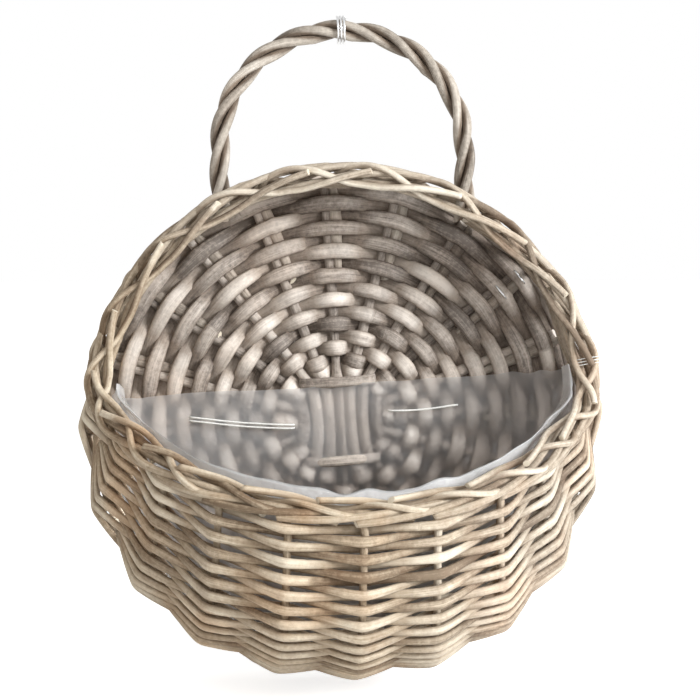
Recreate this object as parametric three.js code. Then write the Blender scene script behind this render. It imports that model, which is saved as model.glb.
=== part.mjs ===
// Hanging wall planter: a half-round willow basket with a woven back disc,
// a woven pocket, a rope border, a twisted handle and a clear film liner.
// Millimetres, +Z up, the viewer at -Y and the wall at +Y.

import * as THREE from 'three';

// Back disc
const spokeCount = 20;
const slathTurn = 3.8;
const uprightCount = 7;
const crossCount = 3;
const slathPitch = 7;
const slathRadius = 23;
const spokeStart = 31;
const stickEndInset = 5;
const stickRadius = 2.2;
const slathDepth = 2.4;
const stakeInsertion = 82;
const bindingReach = 22;
const bindingCorner = 28.7;
const bindingCornerShift = 2.6;
const bindingRadius = 0.8;
const bindingFrontSpokes = 1.4;

// Back weave
const backRowStart = 34;
const backEdgeInset = 7;
const backRows = 15;
const backRodThickness = 4;
const backStartSpoke = 15;

// Wall and pocket
const edgeRadius = 135;
const edgeBend = 6;
const stakeRadius = 2.2;
const rimInset = 1.5;
const rimDepth = 42;
const mouthInset = 12;
const mouthInsetShare = 0.5;
const pocketReach = 98;
const pocketRise = 101;
const rimRiseShape = 0.8;
const rimSoftness = 0.25;
const topFlare = 8;
const pocketFlare = -12;
const sideFlare = 19;
const wallStartPull = 0.45;
const pocketStartPull = 0.17;
const wallEndPull = 0.4;
const rimFlare = 0.15;
const stakeStep = 13;
const wallRodRadius = 2.3;
const wallRowStart = 5;
const wallRowPitch = 6;
const wallRounds = 2;
const sideRounds = 2;
const pocketRows = 36;
const rowsPerWeaver = 3;
const pocketRowsPerShare = 38;
const pocketFirstShare = 0.03;
const pocketRowStart = 6.8;
const footSpokes = 4;

// Border
const borderHalfWidth = 5.8;
const borderHalfDepth = 3.5;
const borderReach = 4.7;
const borderFirstTurn = 25;
const borderLastTurn = 315;
const borderSteps = 16;
const borderGaps = 4;

// Handle
const handleHalfWidth = 66.5;
const handleStartTurn = 140;
const handleFootInset = 4.6;
const handleLegLength = 39;
const handleRise = 64;
const handleCrownDepth = 14;
const handleStrands = 3;
const handleStrandRadius = 2.7;
const handleTwist = 67;
const handleStepsPerTwist = 10;
const handleArchStep = 15;
const tieWireRadius = 0.6;
const tieGapAngle = 30;

// Film liner and its fastenings
const linerThickness = 0.5;
const linerKeelInset = 1;
const linerLeftAngle = 176;
const linerRightAngle = 11;
const linerEndHeight = 4;
const linerTopGap = 1;
const linerRise = 9;
const stitchRadius = 0.5;
const stitchLeft = { from: -84, to: -26, z: 1 };
const stitchRight = { from: 26, to: 65, z: 7 };
const stapleSpoke = 2;
const stapleRounds = [6, 7];
const stapleHalfLength = 4.5;
const stapleRadius = 0.45;
const cornerTieStake = 0;
const linerStrips = 18;
const linerBackSteps = 2;
const linerFrontSteps = 7;

// Gap kept between touching pieces, and the facets of each kind of rod
const gap = 0.35;
const roundSides = 6;
const weaverSides = 5;
const flatSides = 4;
const ringSteps = 18;

// Derived sizes
const degree = Math.PI / 180;
const spokeStep = 360 / spokeCount;
const pairOffset = stickRadius + stakeRadius + gap;
const stickEnd = edgeRadius - stickEndInset;
const backRowLast = edgeRadius - backEdgeInset;
const rimRadius = edgeRadius - rimInset;
const linerKeelRadius = backRowLast - linerKeelInset;
const bottomStake = (3 * spokeCount) / 4;
const backRowPitch = (backRowLast - backRowStart) / (backRows - 1);
const backRodWidth = backRowPitch - 2 * gap;
const backLift = stickRadius + gap + backRodThickness / 2;
const wallLift = stakeRadius + gap + wallRodRadius;
const wallHalf = wallLift + wallRodRadius;
const linerClearance = borderHalfWidth + stakeRadius + 2 * stitchRadius + 2 * gap - wallHalf;
const sideRowStart = wallRowStart + wallRounds * wallRowPitch;
const sideRowEnd = sideRowStart + (sideRounds - 1) * wallRowPitch;
const borderClearance = borderHalfDepth + stakeRadius + wallRodRadius + borderGaps * gap;
const handleTriangle = (2 * handleStrandRadius + 2 * gap) / Math.sqrt(3);
const handleBundle = handleTriangle / Math.cos(Math.PI / handleStepsPerTwist);
const handleOuter = handleBundle + handleStrandRadius;
const wallRodFlat = wallRodRadius * Math.cos(Math.PI / weaverSides);
const handleFootDepth = edgeBend + sideRowStart - wallRowPitch + wallRodFlat + handleOuter;
const handleFoot = Math.sqrt((edgeRadius - handleFootInset) ** 2 - handleHalfWidth ** 2);
const handleLegTop = handleFoot + handleLegLength;
const handleCrown = handleLegTop + handleRise;
const hangPoint = new THREE.Vector3(0, -handleCrownDepth, handleCrown - handleOuter);

const willowBack = new THREE.MeshStandardMaterial({ color: 0x8a7c6b, roughness: 0.85 });
const willowFront = new THREE.MeshStandardMaterial({ color: 0xb3a28a, roughness: 0.85 });
const willowHandle = new THREE.MeshStandardMaterial({ color: 0xa39380, roughness: 0.85 });
const film = new THREE.MeshStandardMaterial({ color: 0xc9c9c6, roughness: 0.25 });
film.transparent = true;
film.opacity = 0.5;
const steel = new THREE.MeshStandardMaterial({ color: 0xb9bcc0, roughness: 0.3, metalness: 1 });
const thread = new THREE.MeshStandardMaterial({ color: 0xe6e4de, roughness: 0.6 });

const basket = new THREE.Group();
const body = new THREE.Group();
body.position.copy(hangPoint).negate();
basket.add(body);

const forward = new THREE.Vector3(0, -1, 0);
const upward = new THREE.Vector3(0, 0, 1);

function addPiece(name, geometry, material) {
  const mesh = new THREE.Mesh(geometry, material);
  mesh.name = name;
  body.add(mesh);
}

function twoDigits(number) {
  return String(number).padStart(2, '0');
}

// A point of the disc plane at a radius and an angle, at a given depth in front of it
function discPoint(radius, angle, depth = 0) {
  return new THREE.Vector3(radius * Math.cos(angle * degree), -depth, radius * Math.sin(angle * degree));
}

// Closed mesh of triangles, turned so that its faces point out
function closedGeometry(points, triangles) {
  let volume = 0;
  for (const [a, b, c] of triangles) {
    volume += points[a].dot(new THREE.Vector3().crossVectors(points[b], points[c]));
  }
  const facing = volume > 0 ? triangles : triangles.map(([a, b, c]) => [a, c, b]);
  const geometry = new THREE.BufferGeometry();
  geometry.setAttribute('position', new THREE.Float32BufferAttribute(points.flatMap((p) => p.toArray()), 3));
  geometry.setIndex(facing.flat());
  geometry.computeVertexNormals();
  return geometry;
}

// A rod skinned over sections. Each section has a centre and two half-axes.
function rod(sections, sides) {
  const points = [];
  const triangles = [];
  const reach = sides === flatSides ? Math.SQRT2 : 1;
  const start = sides === flatSides ? Math.PI / sides : 0;
  for (const { centre, u, v } of sections) {
    for (let i = 0; i < sides; i += 1) {
      const angle = start + (2 * Math.PI * i) / sides;
      const point = centre.clone();
      point.addScaledVector(u, reach * Math.cos(angle));
      point.addScaledVector(v, reach * Math.sin(angle));
      points.push(point);
    }
  }
  for (let k = 0; k + 1 < sections.length; k += 1) {
    for (let i = 0; i < sides; i += 1) {
      const a = k * sides + i;
      const b = k * sides + ((i + 1) % sides);
      triangles.push([a, b, b + sides], [a, b + sides, a + sides]);
    }
  }
  const last = (sections.length - 1) * sides;
  for (let i = 1; i + 1 < sides; i += 1) {
    triangles.push([0, i + 1, i], [last, last + i, last + i + 1]);
  }
  return closedGeometry(points, triangles);
}

// Round sections along a list of points, with one half-axis kept near a guide direction
function roundSections(points, radius, guide) {
  return points.map((centre, i) => {
    const before = points[Math.max(i - 1, 0)];
    const after = points[Math.min(i + 1, points.length - 1)];
    const along = after.clone().sub(before).normalize();
    const hint = Array.isArray(guide) ? guide[i] : guide;
    const u = hint.clone().addScaledVector(along, -hint.dot(along)).normalize();
    const v = new THREE.Vector3().crossVectors(along, u);
    return { centre, u: u.multiplyScalar(radius), v: v.multiplyScalar(radius) };
  });
}

function roundRod(points, radius, guide, sides = roundSides) {
  return rod(roundSections(points, radius, guide), sides);
}

// Back disc: sticks of the slath, fanned out into spokes

function spokeAngle(spoke) {
  return spoke * spokeStep + slathTurn;
}

// Half of a stick, from the middle of the slath out to its spoke
function stickHalf(offset, spoke, depth) {
  const outward = spoke > 0 && spoke < spokeCount / 2 ? 1 : -1;
  const upright = depth > 0;
  const slath = (along) => {
    const local = upright
      ? new THREE.Vector3(offset, -depth, outward * along)
      : new THREE.Vector3(Math.cos(spokeAngle(spoke) * degree) > 0 ? along : -along, -depth, offset);
    return local.applyAxisAngle(forward, slathTurn * degree);
  };
  const straight = Math.sqrt(slathRadius ** 2 - offset ** 2);
  return [
    slath(straight),
    discPoint(spokeStart, spokeAngle(spoke)),
    discPoint(stickEnd, spokeAngle(spoke)),
  ];
}

function addStick(name, offset, firstSpoke, lastSpoke, depth) {
  const points = [...stickHalf(offset, firstSpoke, depth).reverse(), ...stickHalf(offset, lastSpoke, depth)];
  addPiece(name, roundRod(points, stickRadius, forward), willowBack);
}

function addSticks() {
  const quarter = spokeCount / 4;
  for (let i = 0; i < uprightCount; i += 1) {
    const place = i - (uprightCount - 1) / 2;
    addStick(`upright_stick_${i + 1}`, place * slathPitch, quarter - place, 3 * quarter + place, slathDepth);
  }
  for (let i = 0; i < crossCount; i += 1) {
    const place = i - (crossCount - 1) / 2;
    addStick(`cross_stick_${i + 1}`, place * slathPitch, 2 * quarter - place, place, -slathDepth);
  }
}

// A strand that binds the slath: in front of the upright sticks, behind the cross sticks
function addSlathBinding() {
  const depth = slathDepth + stickRadius + gap + bindingRadius;
  const points = [];
  for (let half = 0; half < 2 * spokeCount - 1; half += 1) {
    const even = (half / 2 + 0.25) * spokeStep;
    const angle = even - bindingCornerShift * Math.sin(2 * even * degree);
    const inFront = Math.abs(Math.sin(angle * degree)) > Math.sin(bindingFrontSpokes * spokeStep * degree);
    const reach = Math.min(bindingReach / Math.abs(Math.sin(angle * degree)), bindingCorner);
    points.push(discPoint(reach, angle + slathTurn, inFront ? depth : -depth));
  }
  addPiece('slath_binding', roundRod(points, bindingRadius, upward, weaverSides), willowBack);
}

// Back weave: two weavers that chase each other out from the slath

function backRowRadius(row) {
  return backRowStart + row * backRowPitch;
}

// Where a back rod lies flat over a spoke: over the stick alone, or over the stick and its stake
function backCrossing(radius) {
  const paired = radius + backRodWidth / 2 > stakeInsertion - gap;
  const middle = paired ? pairOffset / 2 : 0;
  const half = paired ? pairOffset / 2 + stickRadius + gap : stickRadius - gap / 2;
  return { middle, half };
}

function addBackWeaver(name, firstRow) {
  const sections = [];
  const rounds = Math.ceil((backRows - firstRow) / 2);
  for (let step = 0; step < rounds * spokeCount; step += 1) {
    const spoke = backStartSpoke + step;
    const radius = backRowRadius(firstRow + 2 * Math.floor(step / spokeCount));
    const { middle, half } = backCrossing(radius);
    const depth = (spoke + firstRow) % 2 === 0 ? backLift : -backLift;
    for (const place of [-half, half]) {
      const angle = spokeAngle(spoke) + (place - middle) / radius / degree;
      sections.push({
        centre: discPoint(radius, angle, depth),
        u: discPoint(backRodWidth / 2, angle),
        v: forward.clone().multiplyScalar(backRodThickness / 2),
      });
    }
  }
  addPiece(name, rod(sections, flatSides), willowBack);
}

// Shape of the wall: the rim, and the line that a stake follows from the disc edge to it

// 0 along the top of the rim, 1 at the front of the pocket
function pocketShare(angle) {
  const down = -Math.sin(angle * degree);
  return (down + Math.hypot(down, rimSoftness)) / 2;
}

function rimPoint(angle) {
  const share = pocketShare(angle);
  const inset = mouthInset * THREE.MathUtils.smoothstep(share, 0, mouthInsetShare);
  const point = discPoint(rimRadius, angle, rimDepth + pocketReach * share);
  point.z += pocketRise * share ** rimRiseShape;
  point.x -= inset * Math.cos(angle * degree);
  return point;
}

const wallCurves = new Map();

function wallCurve(angle) {
  if (!wallCurves.has(angle)) {
    const share = pocketShare(angle);
    const base = discPoint(edgeRadius, angle, edgeBend);
    const rim = rimPoint(angle);
    const reach = base.distanceTo(rim);
    const flare = topFlare + pocketFlare * share + sideFlare * Math.cos(angle * degree) ** 2;
    const leave = discPoint(Math.sin(flare * degree), angle, Math.cos(flare * degree));
    const arrive = discPoint(rimFlare * (1 - share), angle, 1 - share);
    arrive.addScaledVector(upward, share).normalize();
    const firstPull = base.clone().addScaledVector(leave, reach * (wallStartPull + pocketStartPull * share));
    const lastPull = rim.clone().addScaledVector(arrive, -reach * wallEndPull);
    wallCurves.set(angle, new THREE.CubicBezierCurve3(base, firstPull, lastPull, rim));
  }
  return wallCurves.get(angle);
}

// Point, rise along the stake, run around the wall and outward normal at a height above the disc edge
function wallFrame(angle, height) {
  const curve = wallCurve(angle);
  const share = THREE.MathUtils.clamp(height / curve.getLength(), 0, 1);
  const rise = curve.getTangentAt(share);
  const run = wallCurve(angle + 1).getPointAt(share).sub(wallCurve(angle - 1).getPointAt(share)).normalize();
  const out = new THREE.Vector3().crossVectors(run, rise).normalize();
  return { point: curve.getPointAt(share), rise, run, out };
}

function rimFrame(angle) {
  const { point, rise } = wallFrame(angle, Infinity);
  const run = rimPoint(angle + 1).sub(rimPoint(angle - 1)).normalize();
  rise.addScaledVector(run, -rise.dot(run)).normalize();
  const out = new THREE.Vector3().crossVectors(run, rise);
  return { point, rise, run, out };
}

// Stakes: beside the sticks, round the disc edge, up the wall and then down into the border

function stakeAngle(stake) {
  return spokeAngle(stake) - Math.atan2(pairOffset, edgeRadius) / degree;
}

function stakeInDisc(stake, radius, depth) {
  const aside = discPoint(pairOffset, spokeAngle(stake) - 90);
  return discPoint(radius, spokeAngle(stake), depth).add(aside);
}

// A point of the border rope, which turns once over a few stakes
function borderPoint(angle, turn) {
  const { point, rise, out } = rimFrame(angle);
  point.addScaledVector(rise, -borderHalfDepth * Math.cos(turn * degree));
  return point.addScaledVector(out, -borderHalfWidth * Math.sin(turn * degree));
}

function addStake(stake) {
  const angle = stakeAngle(stake);
  const length = wallCurve(angle).getLength();
  const wallEnd = length - borderHalfDepth - 2 * stakeRadius;
  const steps = Math.ceil(wallEnd / stakeStep);
  const backward = forward.clone().negate();
  const bend = discPoint(1, angle, -1).normalize();
  const points = [
    stakeInDisc(stake, stakeInsertion, 0),
    stakeInDisc(stake, edgeRadius - edgeBend, 0),
    stakeInDisc(stake, edgeRadius - edgeBend / 4, edgeBend / 4),
  ];
  const guides = [backward, backward, bend];
  for (let i = 0; i <= steps; i += 1) {
    const { point, out } = wallFrame(angle, (wallEnd * i) / steps);
    points.push(point);
    guides.push(out);
  }
  for (let i = 0; i < borderSteps; i += 1) {
    const turn = borderFirstTurn + ((borderLastTurn - borderFirstTurn) * i) / (borderSteps - 1);
    const place = angle - (turn / 360) * borderReach * spokeStep;
    points.push(borderPoint(place, turn));
    guides.push(rimFrame(place).out);
  }
  addPiece(`stake_${twoDigits(stake + 1)}`, roundRod(points, stakeRadius, guides, weaverSides), willowFront);
}

// Wall and pocket weave: rods that pass outside one stake and inside the next

// Lie of a rod where it crosses a stake
function wallCrossing(row, stake) {
  const here = wallFrame(stakeAngle(stake), row.height(stake));
  const before = Math.max(stake - 1, row.first);
  const after = Math.min(stake + 1, row.last);
  const run = wallFrame(stakeAngle(after), row.height(after)).point;
  run.sub(wallFrame(stakeAngle(before), row.height(before)).point);
  run.addScaledVector(here.out, -run.dot(here.out)).normalize();
  const up = new THREE.Vector3().crossVectors(here.out, run);
  const room = (row.pitch(stake) * Math.abs(up.dot(here.rise))) / 2 - gap;
  up.multiplyScalar(Math.min(wallRodRadius, room));
  const side = (row.index + stake) % 2 === 0 ? 1 : -1;
  return { ...here, run, up, side };
}

// A rod through one or more rows, which turns back round the end stake after each row
function addWallWeaver(name, rows, startsLeft) {
  const sections = [];
  const reach = stakeRadius + gap;
  let direction = startsLeft ? 1 : -1;
  rows.forEach((row, i) => {
    const firstStake = direction > 0 ? row.first : row.last;
    for (let k = 0; k <= row.last - row.first; k += 1) {
      const { point, run, out, up, side } = wallCrossing(row, firstStake + direction * k);
      for (const place of [-reach, reach]) {
        const centre = point.clone().addScaledVector(out, side * wallLift);
        centre.addScaledVector(run, direction * place);
        sections.push({ centre, u: up, v: out.clone().multiplyScalar(direction * wallRodRadius) });
      }
    }
    if (i + 1 < rows.length) {
      const endStake = direction > 0 ? row.last : row.first;
      const here = wallCrossing(row, endStake);
      const back = wallCrossing(rows[i + 1], endStake);
      const centre = here.point.clone().add(back.point).divideScalar(2);
      centre.addScaledVector(here.run, direction * (wallLift + gap));
      const v = here.run.clone().multiplyScalar(here.side * wallRodRadius);
      sections.push({ centre, u: here.up.clone().add(back.up).divideScalar(2), v });
    }
    direction = -direction;
  });
  addPiece(name, rod(sections, weaverSides), willowFront);
}

function levelRow(index, first, last) {
  const height = () => wallRowStart + index * wallRowPitch;
  return { index, first, last, height, pitch: () => wallRowPitch };
}

function addWallWeavers() {
  for (let i = 0; i < wallRounds; i += 1) {
    const first = bottomStake + 2 * i;
    addWallWeaver(`wall_weaver_${i + 1}`, [levelRow(i, first, first + spokeCount - 1)], true);
  }
  const sideLeft = Math.ceil(footSpokes / 2) + spokeCount / 4;
  const sideRight = sideLeft + spokeCount - footSpokes;
  const sideRows = [];
  const topRows = [];
  for (let i = wallRounds; i < wallRounds + sideRounds; i += 1) {
    sideRows.push(levelRow(i, sideLeft, sideRight));
    topRows.push(levelRow(i, sideRight + 1 - spokeCount, sideLeft - 1));
  }
  addWallWeaver('side_weaver', sideRows, false);
  addWallWeaver('top_weaver', topRows, true);
}

// Rows of the pocket lie parallel to the rim and end where they meet the level rows
function pocketStake(stake) {
  const top = wallCurve(stakeAngle(stake)).getLength() - borderClearance;
  const room = top - sideRowEnd - pocketRowStart;
  const share = pocketShare(stakeAngle(stake));
  const fanned = Math.floor(1 + pocketRowsPerShare * (share - pocketFirstShare));
  const count = Math.min(fanned, pocketRows);
  return { top, count, pitch: count > 1 ? room / (count - 1) : wallRowPitch };
}

function pocketRow(index) {
  let first = bottomStake;
  let last = bottomStake;
  while (pocketStake(first - 1).count > index) {
    first -= 1;
  }
  while (pocketStake(last + 1).count > index) {
    last += 1;
  }
  const height = (stake) => pocketStake(stake).top - index * pocketStake(stake).pitch;
  return { index, first, last, height, pitch: (stake) => pocketStake(stake).pitch };
}

function addPocketWeavers() {
  for (let weaver = 0; weaver < pocketRows / rowsPerWeaver; weaver += 1) {
    const startsLeft = weaver % 2 === 0;
    const rows = [];
    for (let i = 0; i < rowsPerWeaver; i += 1) {
      rows.push(pocketRow(weaver * rowsPerWeaver + i));
    }
    for (let i = 0; i + 1 < rowsPerWeaver; i += 1) {
      const end = (i % 2 === 0) === startsLeft ? 'last' : 'first';
      rows[i][end] = rows[i + 1][end];
    }
    addWallWeaver(`pocket_weaver_${twoDigits(weaver + 1)}`, rows, startsLeft);
  }
}

// Handle: three strands twisted round an arch, tied with wire at the crown

function handleArch() {
  const points = [];
  for (const z of [handleFoot, (handleFoot + handleLegTop) / 2]) {
    points.push(new THREE.Vector3(-handleHalfWidth, -handleFootDepth, z));
  }
  for (let turn = 180; turn >= 0; turn -= handleArchStep) {
    const share = Math.sin(turn * degree);
    const depth = THREE.MathUtils.lerp(handleFootDepth, handleCrownDepth, share ** 2);
    const z = THREE.MathUtils.lerp(handleLegTop, handleCrown, share);
    points.push(new THREE.Vector3(handleHalfWidth * Math.cos(turn * degree), -depth, z));
  }
  for (const z of [(handleFoot + handleLegTop) / 2, handleFoot]) {
    points.push(new THREE.Vector3(handleHalfWidth, -handleFootDepth, z));
  }
  return new THREE.CatmullRomCurve3(points, false, 'centripetal');
}

function addHandle() {
  const arch = handleArch();
  const steps = Math.round((arch.getLength() / handleTwist) * handleStepsPerTwist);
  for (let strand = 0; strand < handleStrands; strand += 1) {
    const points = [];
    for (let i = 0; i <= steps; i += 1) {
      const along = arch.getTangentAt(i / steps);
      const front = forward.clone().addScaledVector(along, -forward.dot(along)).normalize();
      const side = new THREE.Vector3().crossVectors(along, front);
      const turns = i / handleStepsPerTwist + strand / handleStrands;
      const turn = handleStartTurn * degree + 2 * Math.PI * turns;
      const point = arch.getPointAt(i / steps).addScaledVector(front, handleBundle * Math.cos(turn));
      points.push(point.addScaledVector(side, handleBundle * Math.sin(turn)));
    }
    const geometry = roundRod(points, handleStrandRadius, forward, weaverSides);
    addPiece(`handle_strand_${strand + 1}`, geometry, willowHandle);
  }
}

function ring(centre, across, along, open, steps, radius) {
  const points = [];
  for (let i = 0; i <= steps; i += 1) {
    const turn = (open / 2 + ((360 - open) * i) / steps) * degree;
    const point = centre.clone().addScaledVector(across, Math.cos(turn));
    points.push(point.addScaledVector(along, Math.sin(turn)));
  }
  const axis = new THREE.Vector3().crossVectors(across, along).normalize();
  return roundRod(points, radius, axis, weaverSides);
}

function addHandleTie() {
  const reach = (handleOuter + gap + tieWireRadius) / Math.cos(Math.PI / ringSteps);
  const centre = new THREE.Vector3(0, -handleCrownDepth, handleCrown);
  const across = upward.clone().multiplyScalar(reach);
  const along = forward.clone().multiplyScalar(reach);
  addPiece('handle_tie', ring(centre, across, along, tieGapAngle, ringSteps, tieWireRadius), steel);
}

// Film liner: a bag with a flat back in front of the disc and a front inside the pocket

const linerBackDepth = backLift + backRodThickness / 2 + linerClearance;

// Strip of film from the back edge down to the keel and up to the rim, pushed in by an inset
function linerStrip(angle, inset) {
  const keel = discPoint(linerKeelRadius, angle, linerBackDepth);
  const left = discPoint(linerKeelRadius, linerLeftAngle);
  const right = discPoint(linerKeelRadius, linerRightAngle);
  const share = (keel.x - left.x) / (right.x - left.x);
  const edge = THREE.MathUtils.lerp(left.z, right.z, share) + linerEndHeight;
  const points = [];
  for (let i = 0; i < linerBackSteps; i += 1) {
    const z = THREE.MathUtils.lerp(edge, keel.z, i / linerBackSteps);
    points.push(new THREE.Vector3(keel.x, keel.y - inset, z));
  }
  const inward = discPoint(-inset, angle, inset);
  points.push(keel.add(inward));
  const length = wallCurve(angle).getLength() - linerTopGap;
  for (let i = 0; i <= linerFrontSteps; i += 1) {
    const height = THREE.MathUtils.lerp(wallRowStart, length, i / linerFrontSteps);
    const { point, out } = wallFrame(angle, height);
    points.push(point.addScaledVector(out, -(wallHalf + linerClearance + inset)));
  }
  const { rise } = rimFrame(angle);
  const top = points[points.length - 1].clone();
  points.push(top.addScaledVector(rise, linerTopGap + linerRise * pocketShare(angle)));
  return points;
}

// A sheet with thickness, from its outer and inner grids of points
function thickSheet(outer, inner) {
  const rows = outer.length;
  const columns = outer[0].length;
  const points = [...outer.flat(), ...inner.flat()];
  const at = (layer, r, c) => (layer * rows + r) * columns + c;
  const triangles = [];
  const quad = (a, b, c, d) => triangles.push([a, b, c], [a, c, d]);
  for (let r = 0; r + 1 < rows; r += 1) {
    for (let c = 0; c + 1 < columns; c += 1) {
      quad(at(0, r, c), at(0, r + 1, c), at(0, r + 1, c + 1), at(0, r, c + 1));
      quad(at(1, r, c), at(1, r, c + 1), at(1, r + 1, c + 1), at(1, r + 1, c));
    }
  }
  for (let r = 0; r + 1 < rows; r += 1) {
    quad(at(0, r + 1, 0), at(0, r, 0), at(1, r, 0), at(1, r + 1, 0));
    quad(at(0, r, columns - 1), at(0, r + 1, columns - 1), at(1, r + 1, columns - 1), at(1, r, columns - 1));
  }
  for (let c = 0; c + 1 < columns; c += 1) {
    quad(at(0, 0, c), at(0, 0, c + 1), at(1, 0, c + 1), at(1, 0, c));
    quad(at(0, rows - 1, c + 1), at(0, rows - 1, c), at(1, rows - 1, c), at(1, rows - 1, c + 1));
  }
  return closedGeometry(points, triangles);
}

function addLiner() {
  const outer = [];
  const inner = [];
  for (let i = 0; i <= linerStrips; i += 1) {
    const angle = THREE.MathUtils.lerp(linerLeftAngle, linerRightAngle + 360, i / linerStrips);
    outer.push(linerStrip(angle, 0));
    inner.push(linerStrip(angle, linerThickness));
  }
  addPiece('liner', thickSheet(outer, inner), film);
}

function addLinerStitch(name, { from, to, z }) {
  const depth = linerBackDepth + linerThickness + gap + stitchRadius;
  const points = [new THREE.Vector3(from, -depth, z), new THREE.Vector3(to, -depth, z)];
  addPiece(name, roundRod(points, stitchRadius, upward, weaverSides), thread);
}

// A staple lies on the front of a back weaver where it passes over a spoke
function addStaple(name, round) {
  const radius = backRowRadius(2 * round);
  const depth = backLift + backRodThickness / 2 + gap + stapleRadius;
  const angle = spokeAngle(stapleSpoke) - backCrossing(radius).middle / radius / degree;
  const ends = [-stapleHalfLength, stapleHalfLength].map((place) => {
    const aside = discPoint(place, angle + 90);
    return discPoint(radius, angle, depth).add(aside);
  });
  addPiece(name, roundRod(ends, stapleRadius, forward, weaverSides), steel);
}

function addCornerTie() {
  const { point, rise, out } = rimFrame(stakeAngle(cornerTieStake) + spokeStep / 2);
  const grow = stakeRadius + gap + stitchRadius;
  const across = out.multiplyScalar(borderHalfWidth + grow);
  const along = rise.multiplyScalar(borderHalfDepth + grow);
  addPiece('corner_tie', ring(point, across, along, tieGapAngle, ringSteps, stitchRadius), thread);
}

addSticks();
addSlathBinding();
addBackWeaver('back_weaver_a', 0);
addBackWeaver('back_weaver_b', 1);
for (let stake = 0; stake < spokeCount; stake += 1) {
  addStake(stake);
}
addWallWeavers();
addPocketWeavers();
addHandle();
addHandleTie();
addLiner();
addLinerStitch('liner_stitch_left', stitchLeft);
addLinerStitch('liner_stitch_right', stitchRight);
stapleRounds.forEach((round, i) => addStaple(`staple_${i + 1}`, round));
addCornerTie();

export default basket;
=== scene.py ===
import functools
import math
from collections import namedtuple

import bpy
import numpy as np
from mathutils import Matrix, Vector


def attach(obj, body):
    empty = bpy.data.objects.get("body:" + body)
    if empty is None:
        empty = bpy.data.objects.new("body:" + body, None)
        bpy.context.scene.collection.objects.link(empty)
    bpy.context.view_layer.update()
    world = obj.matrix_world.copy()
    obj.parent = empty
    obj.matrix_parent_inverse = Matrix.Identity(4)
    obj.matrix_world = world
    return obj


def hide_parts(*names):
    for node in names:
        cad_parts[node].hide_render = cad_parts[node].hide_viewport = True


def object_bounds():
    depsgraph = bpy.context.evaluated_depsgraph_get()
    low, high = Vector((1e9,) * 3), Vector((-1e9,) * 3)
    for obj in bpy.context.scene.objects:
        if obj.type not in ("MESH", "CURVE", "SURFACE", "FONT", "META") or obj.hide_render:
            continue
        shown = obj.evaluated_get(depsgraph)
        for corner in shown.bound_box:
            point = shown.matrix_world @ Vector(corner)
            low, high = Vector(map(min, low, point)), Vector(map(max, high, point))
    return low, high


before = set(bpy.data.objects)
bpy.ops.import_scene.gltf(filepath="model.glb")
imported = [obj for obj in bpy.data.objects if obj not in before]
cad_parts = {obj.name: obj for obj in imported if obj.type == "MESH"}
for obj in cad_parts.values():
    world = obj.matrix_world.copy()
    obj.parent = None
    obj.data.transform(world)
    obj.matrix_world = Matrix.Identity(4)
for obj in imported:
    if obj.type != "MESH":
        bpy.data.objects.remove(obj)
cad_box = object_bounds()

MM = 0.001

# Back disc, in millimetres
SPOKES = 20
SLATH_TURN = 3.8
UPRIGHTS = 7
CROSSES = 3
SLATH_PITCH = 7
SLATH_RADIUS = 23
SPOKE_START = 31
STICK_END_INSET = 5
STICK_RADIUS = 2.2
SLATH_SWELL = 1.32
STICK_FATNESS = 1.15
SLATH_DEPTH = 2.4
STAKE_INSERTION = 82
BINDING_REACH = 22
BINDING_RADIUS = 1.4
BINDING_HALF_WIDTH = 2.9
BINDING_SHORTENING = 1.6
BINDING_END = 2
FIRST_RING_RADIUS = 28.0
FIRST_RING_HALF = 4.4
FIRST_RING_LIFT = 3.6
FIRST_RING_FLAT = 2
FILLER_PLACE = 14.5
FILLER_HALF = 5.8

# Back weave
BACK_ROW_START = 34
BACK_EDGE_INSET = 7
BACK_ROWS = 15
BACK_THICKNESS = 4
BACK_START_SPOKE = 15
BACK_LENS_HALF = 4.4
BACK_PASS_HALF = 3.8
BACK_CLIMB = 4
BACK_EARLY_SPOKES = 2
EDGE_ROD_HALF = 4.0
EDGE_ROD_INSET = 1.0
EDGE_ROD_THICKNESS = 3.6
EDGE_ROD_WAVE = 5.4

# Wall and pocket
EDGE_RADIUS = 135
EDGE_BEND = 6
STAKE_RADIUS = 2.2
STAKE_WALL_RADIUS = 2.0
STAKE_BORDER_RADIUS = 1.8
RIM_INSET = 1.5
RIM_DEPTH = 42
MOUTH_INSET = 12
MOUTH_INSET_SHARE = 0.5
POCKET_REACH = 98
POCKET_RISE = 101
RIM_RISE_SHAPE = 0.8
RIM_SOFTNESS = 0.25
RIM_FLARE = 0.15
TOP_FLARE = 8
POCKET_FLARE = -12
SIDE_FLARE = 19
WALL_START_PULL = 0.45
POCKET_START_PULL = 0.17
WALL_END_PULL = 0.4
WALL_CURVE_POINTS = 201
WALL_SLOPE_SHARE = 0.01
STAKE_STEP = 13
WALL_ROD_RADIUS = 2.3
WALL_ROD_FILL = 1.1
WALL_ROD_HALF = 2.6
WEAVE_LIFT = 3.8
WEAVE_HALF_THICKNESS = 1.9
WALL_ROD_SWELL = 1.2
POCKET_ROD_SWELL = 1.3
POCKET_ROD_SPREAD = 0.14
TUCK_SHARE = 0.6
TUCK_SIZE = 0.75
TUCK_DEPTH = 2
WALL_ROW_START = 5
WALL_ROW_PITCH = 6
WALL_ROUNDS = 2
SIDE_ROUNDS = 2
POCKET_ROWS = 36
ROWS_PER_WEAVER = 3
POCKET_ROWS_PER_SHARE = 38
POCKET_FIRST_SHARE = 0.03
POCKET_ROW_START = 6.8
FOOT_SPOKES = 4

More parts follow.
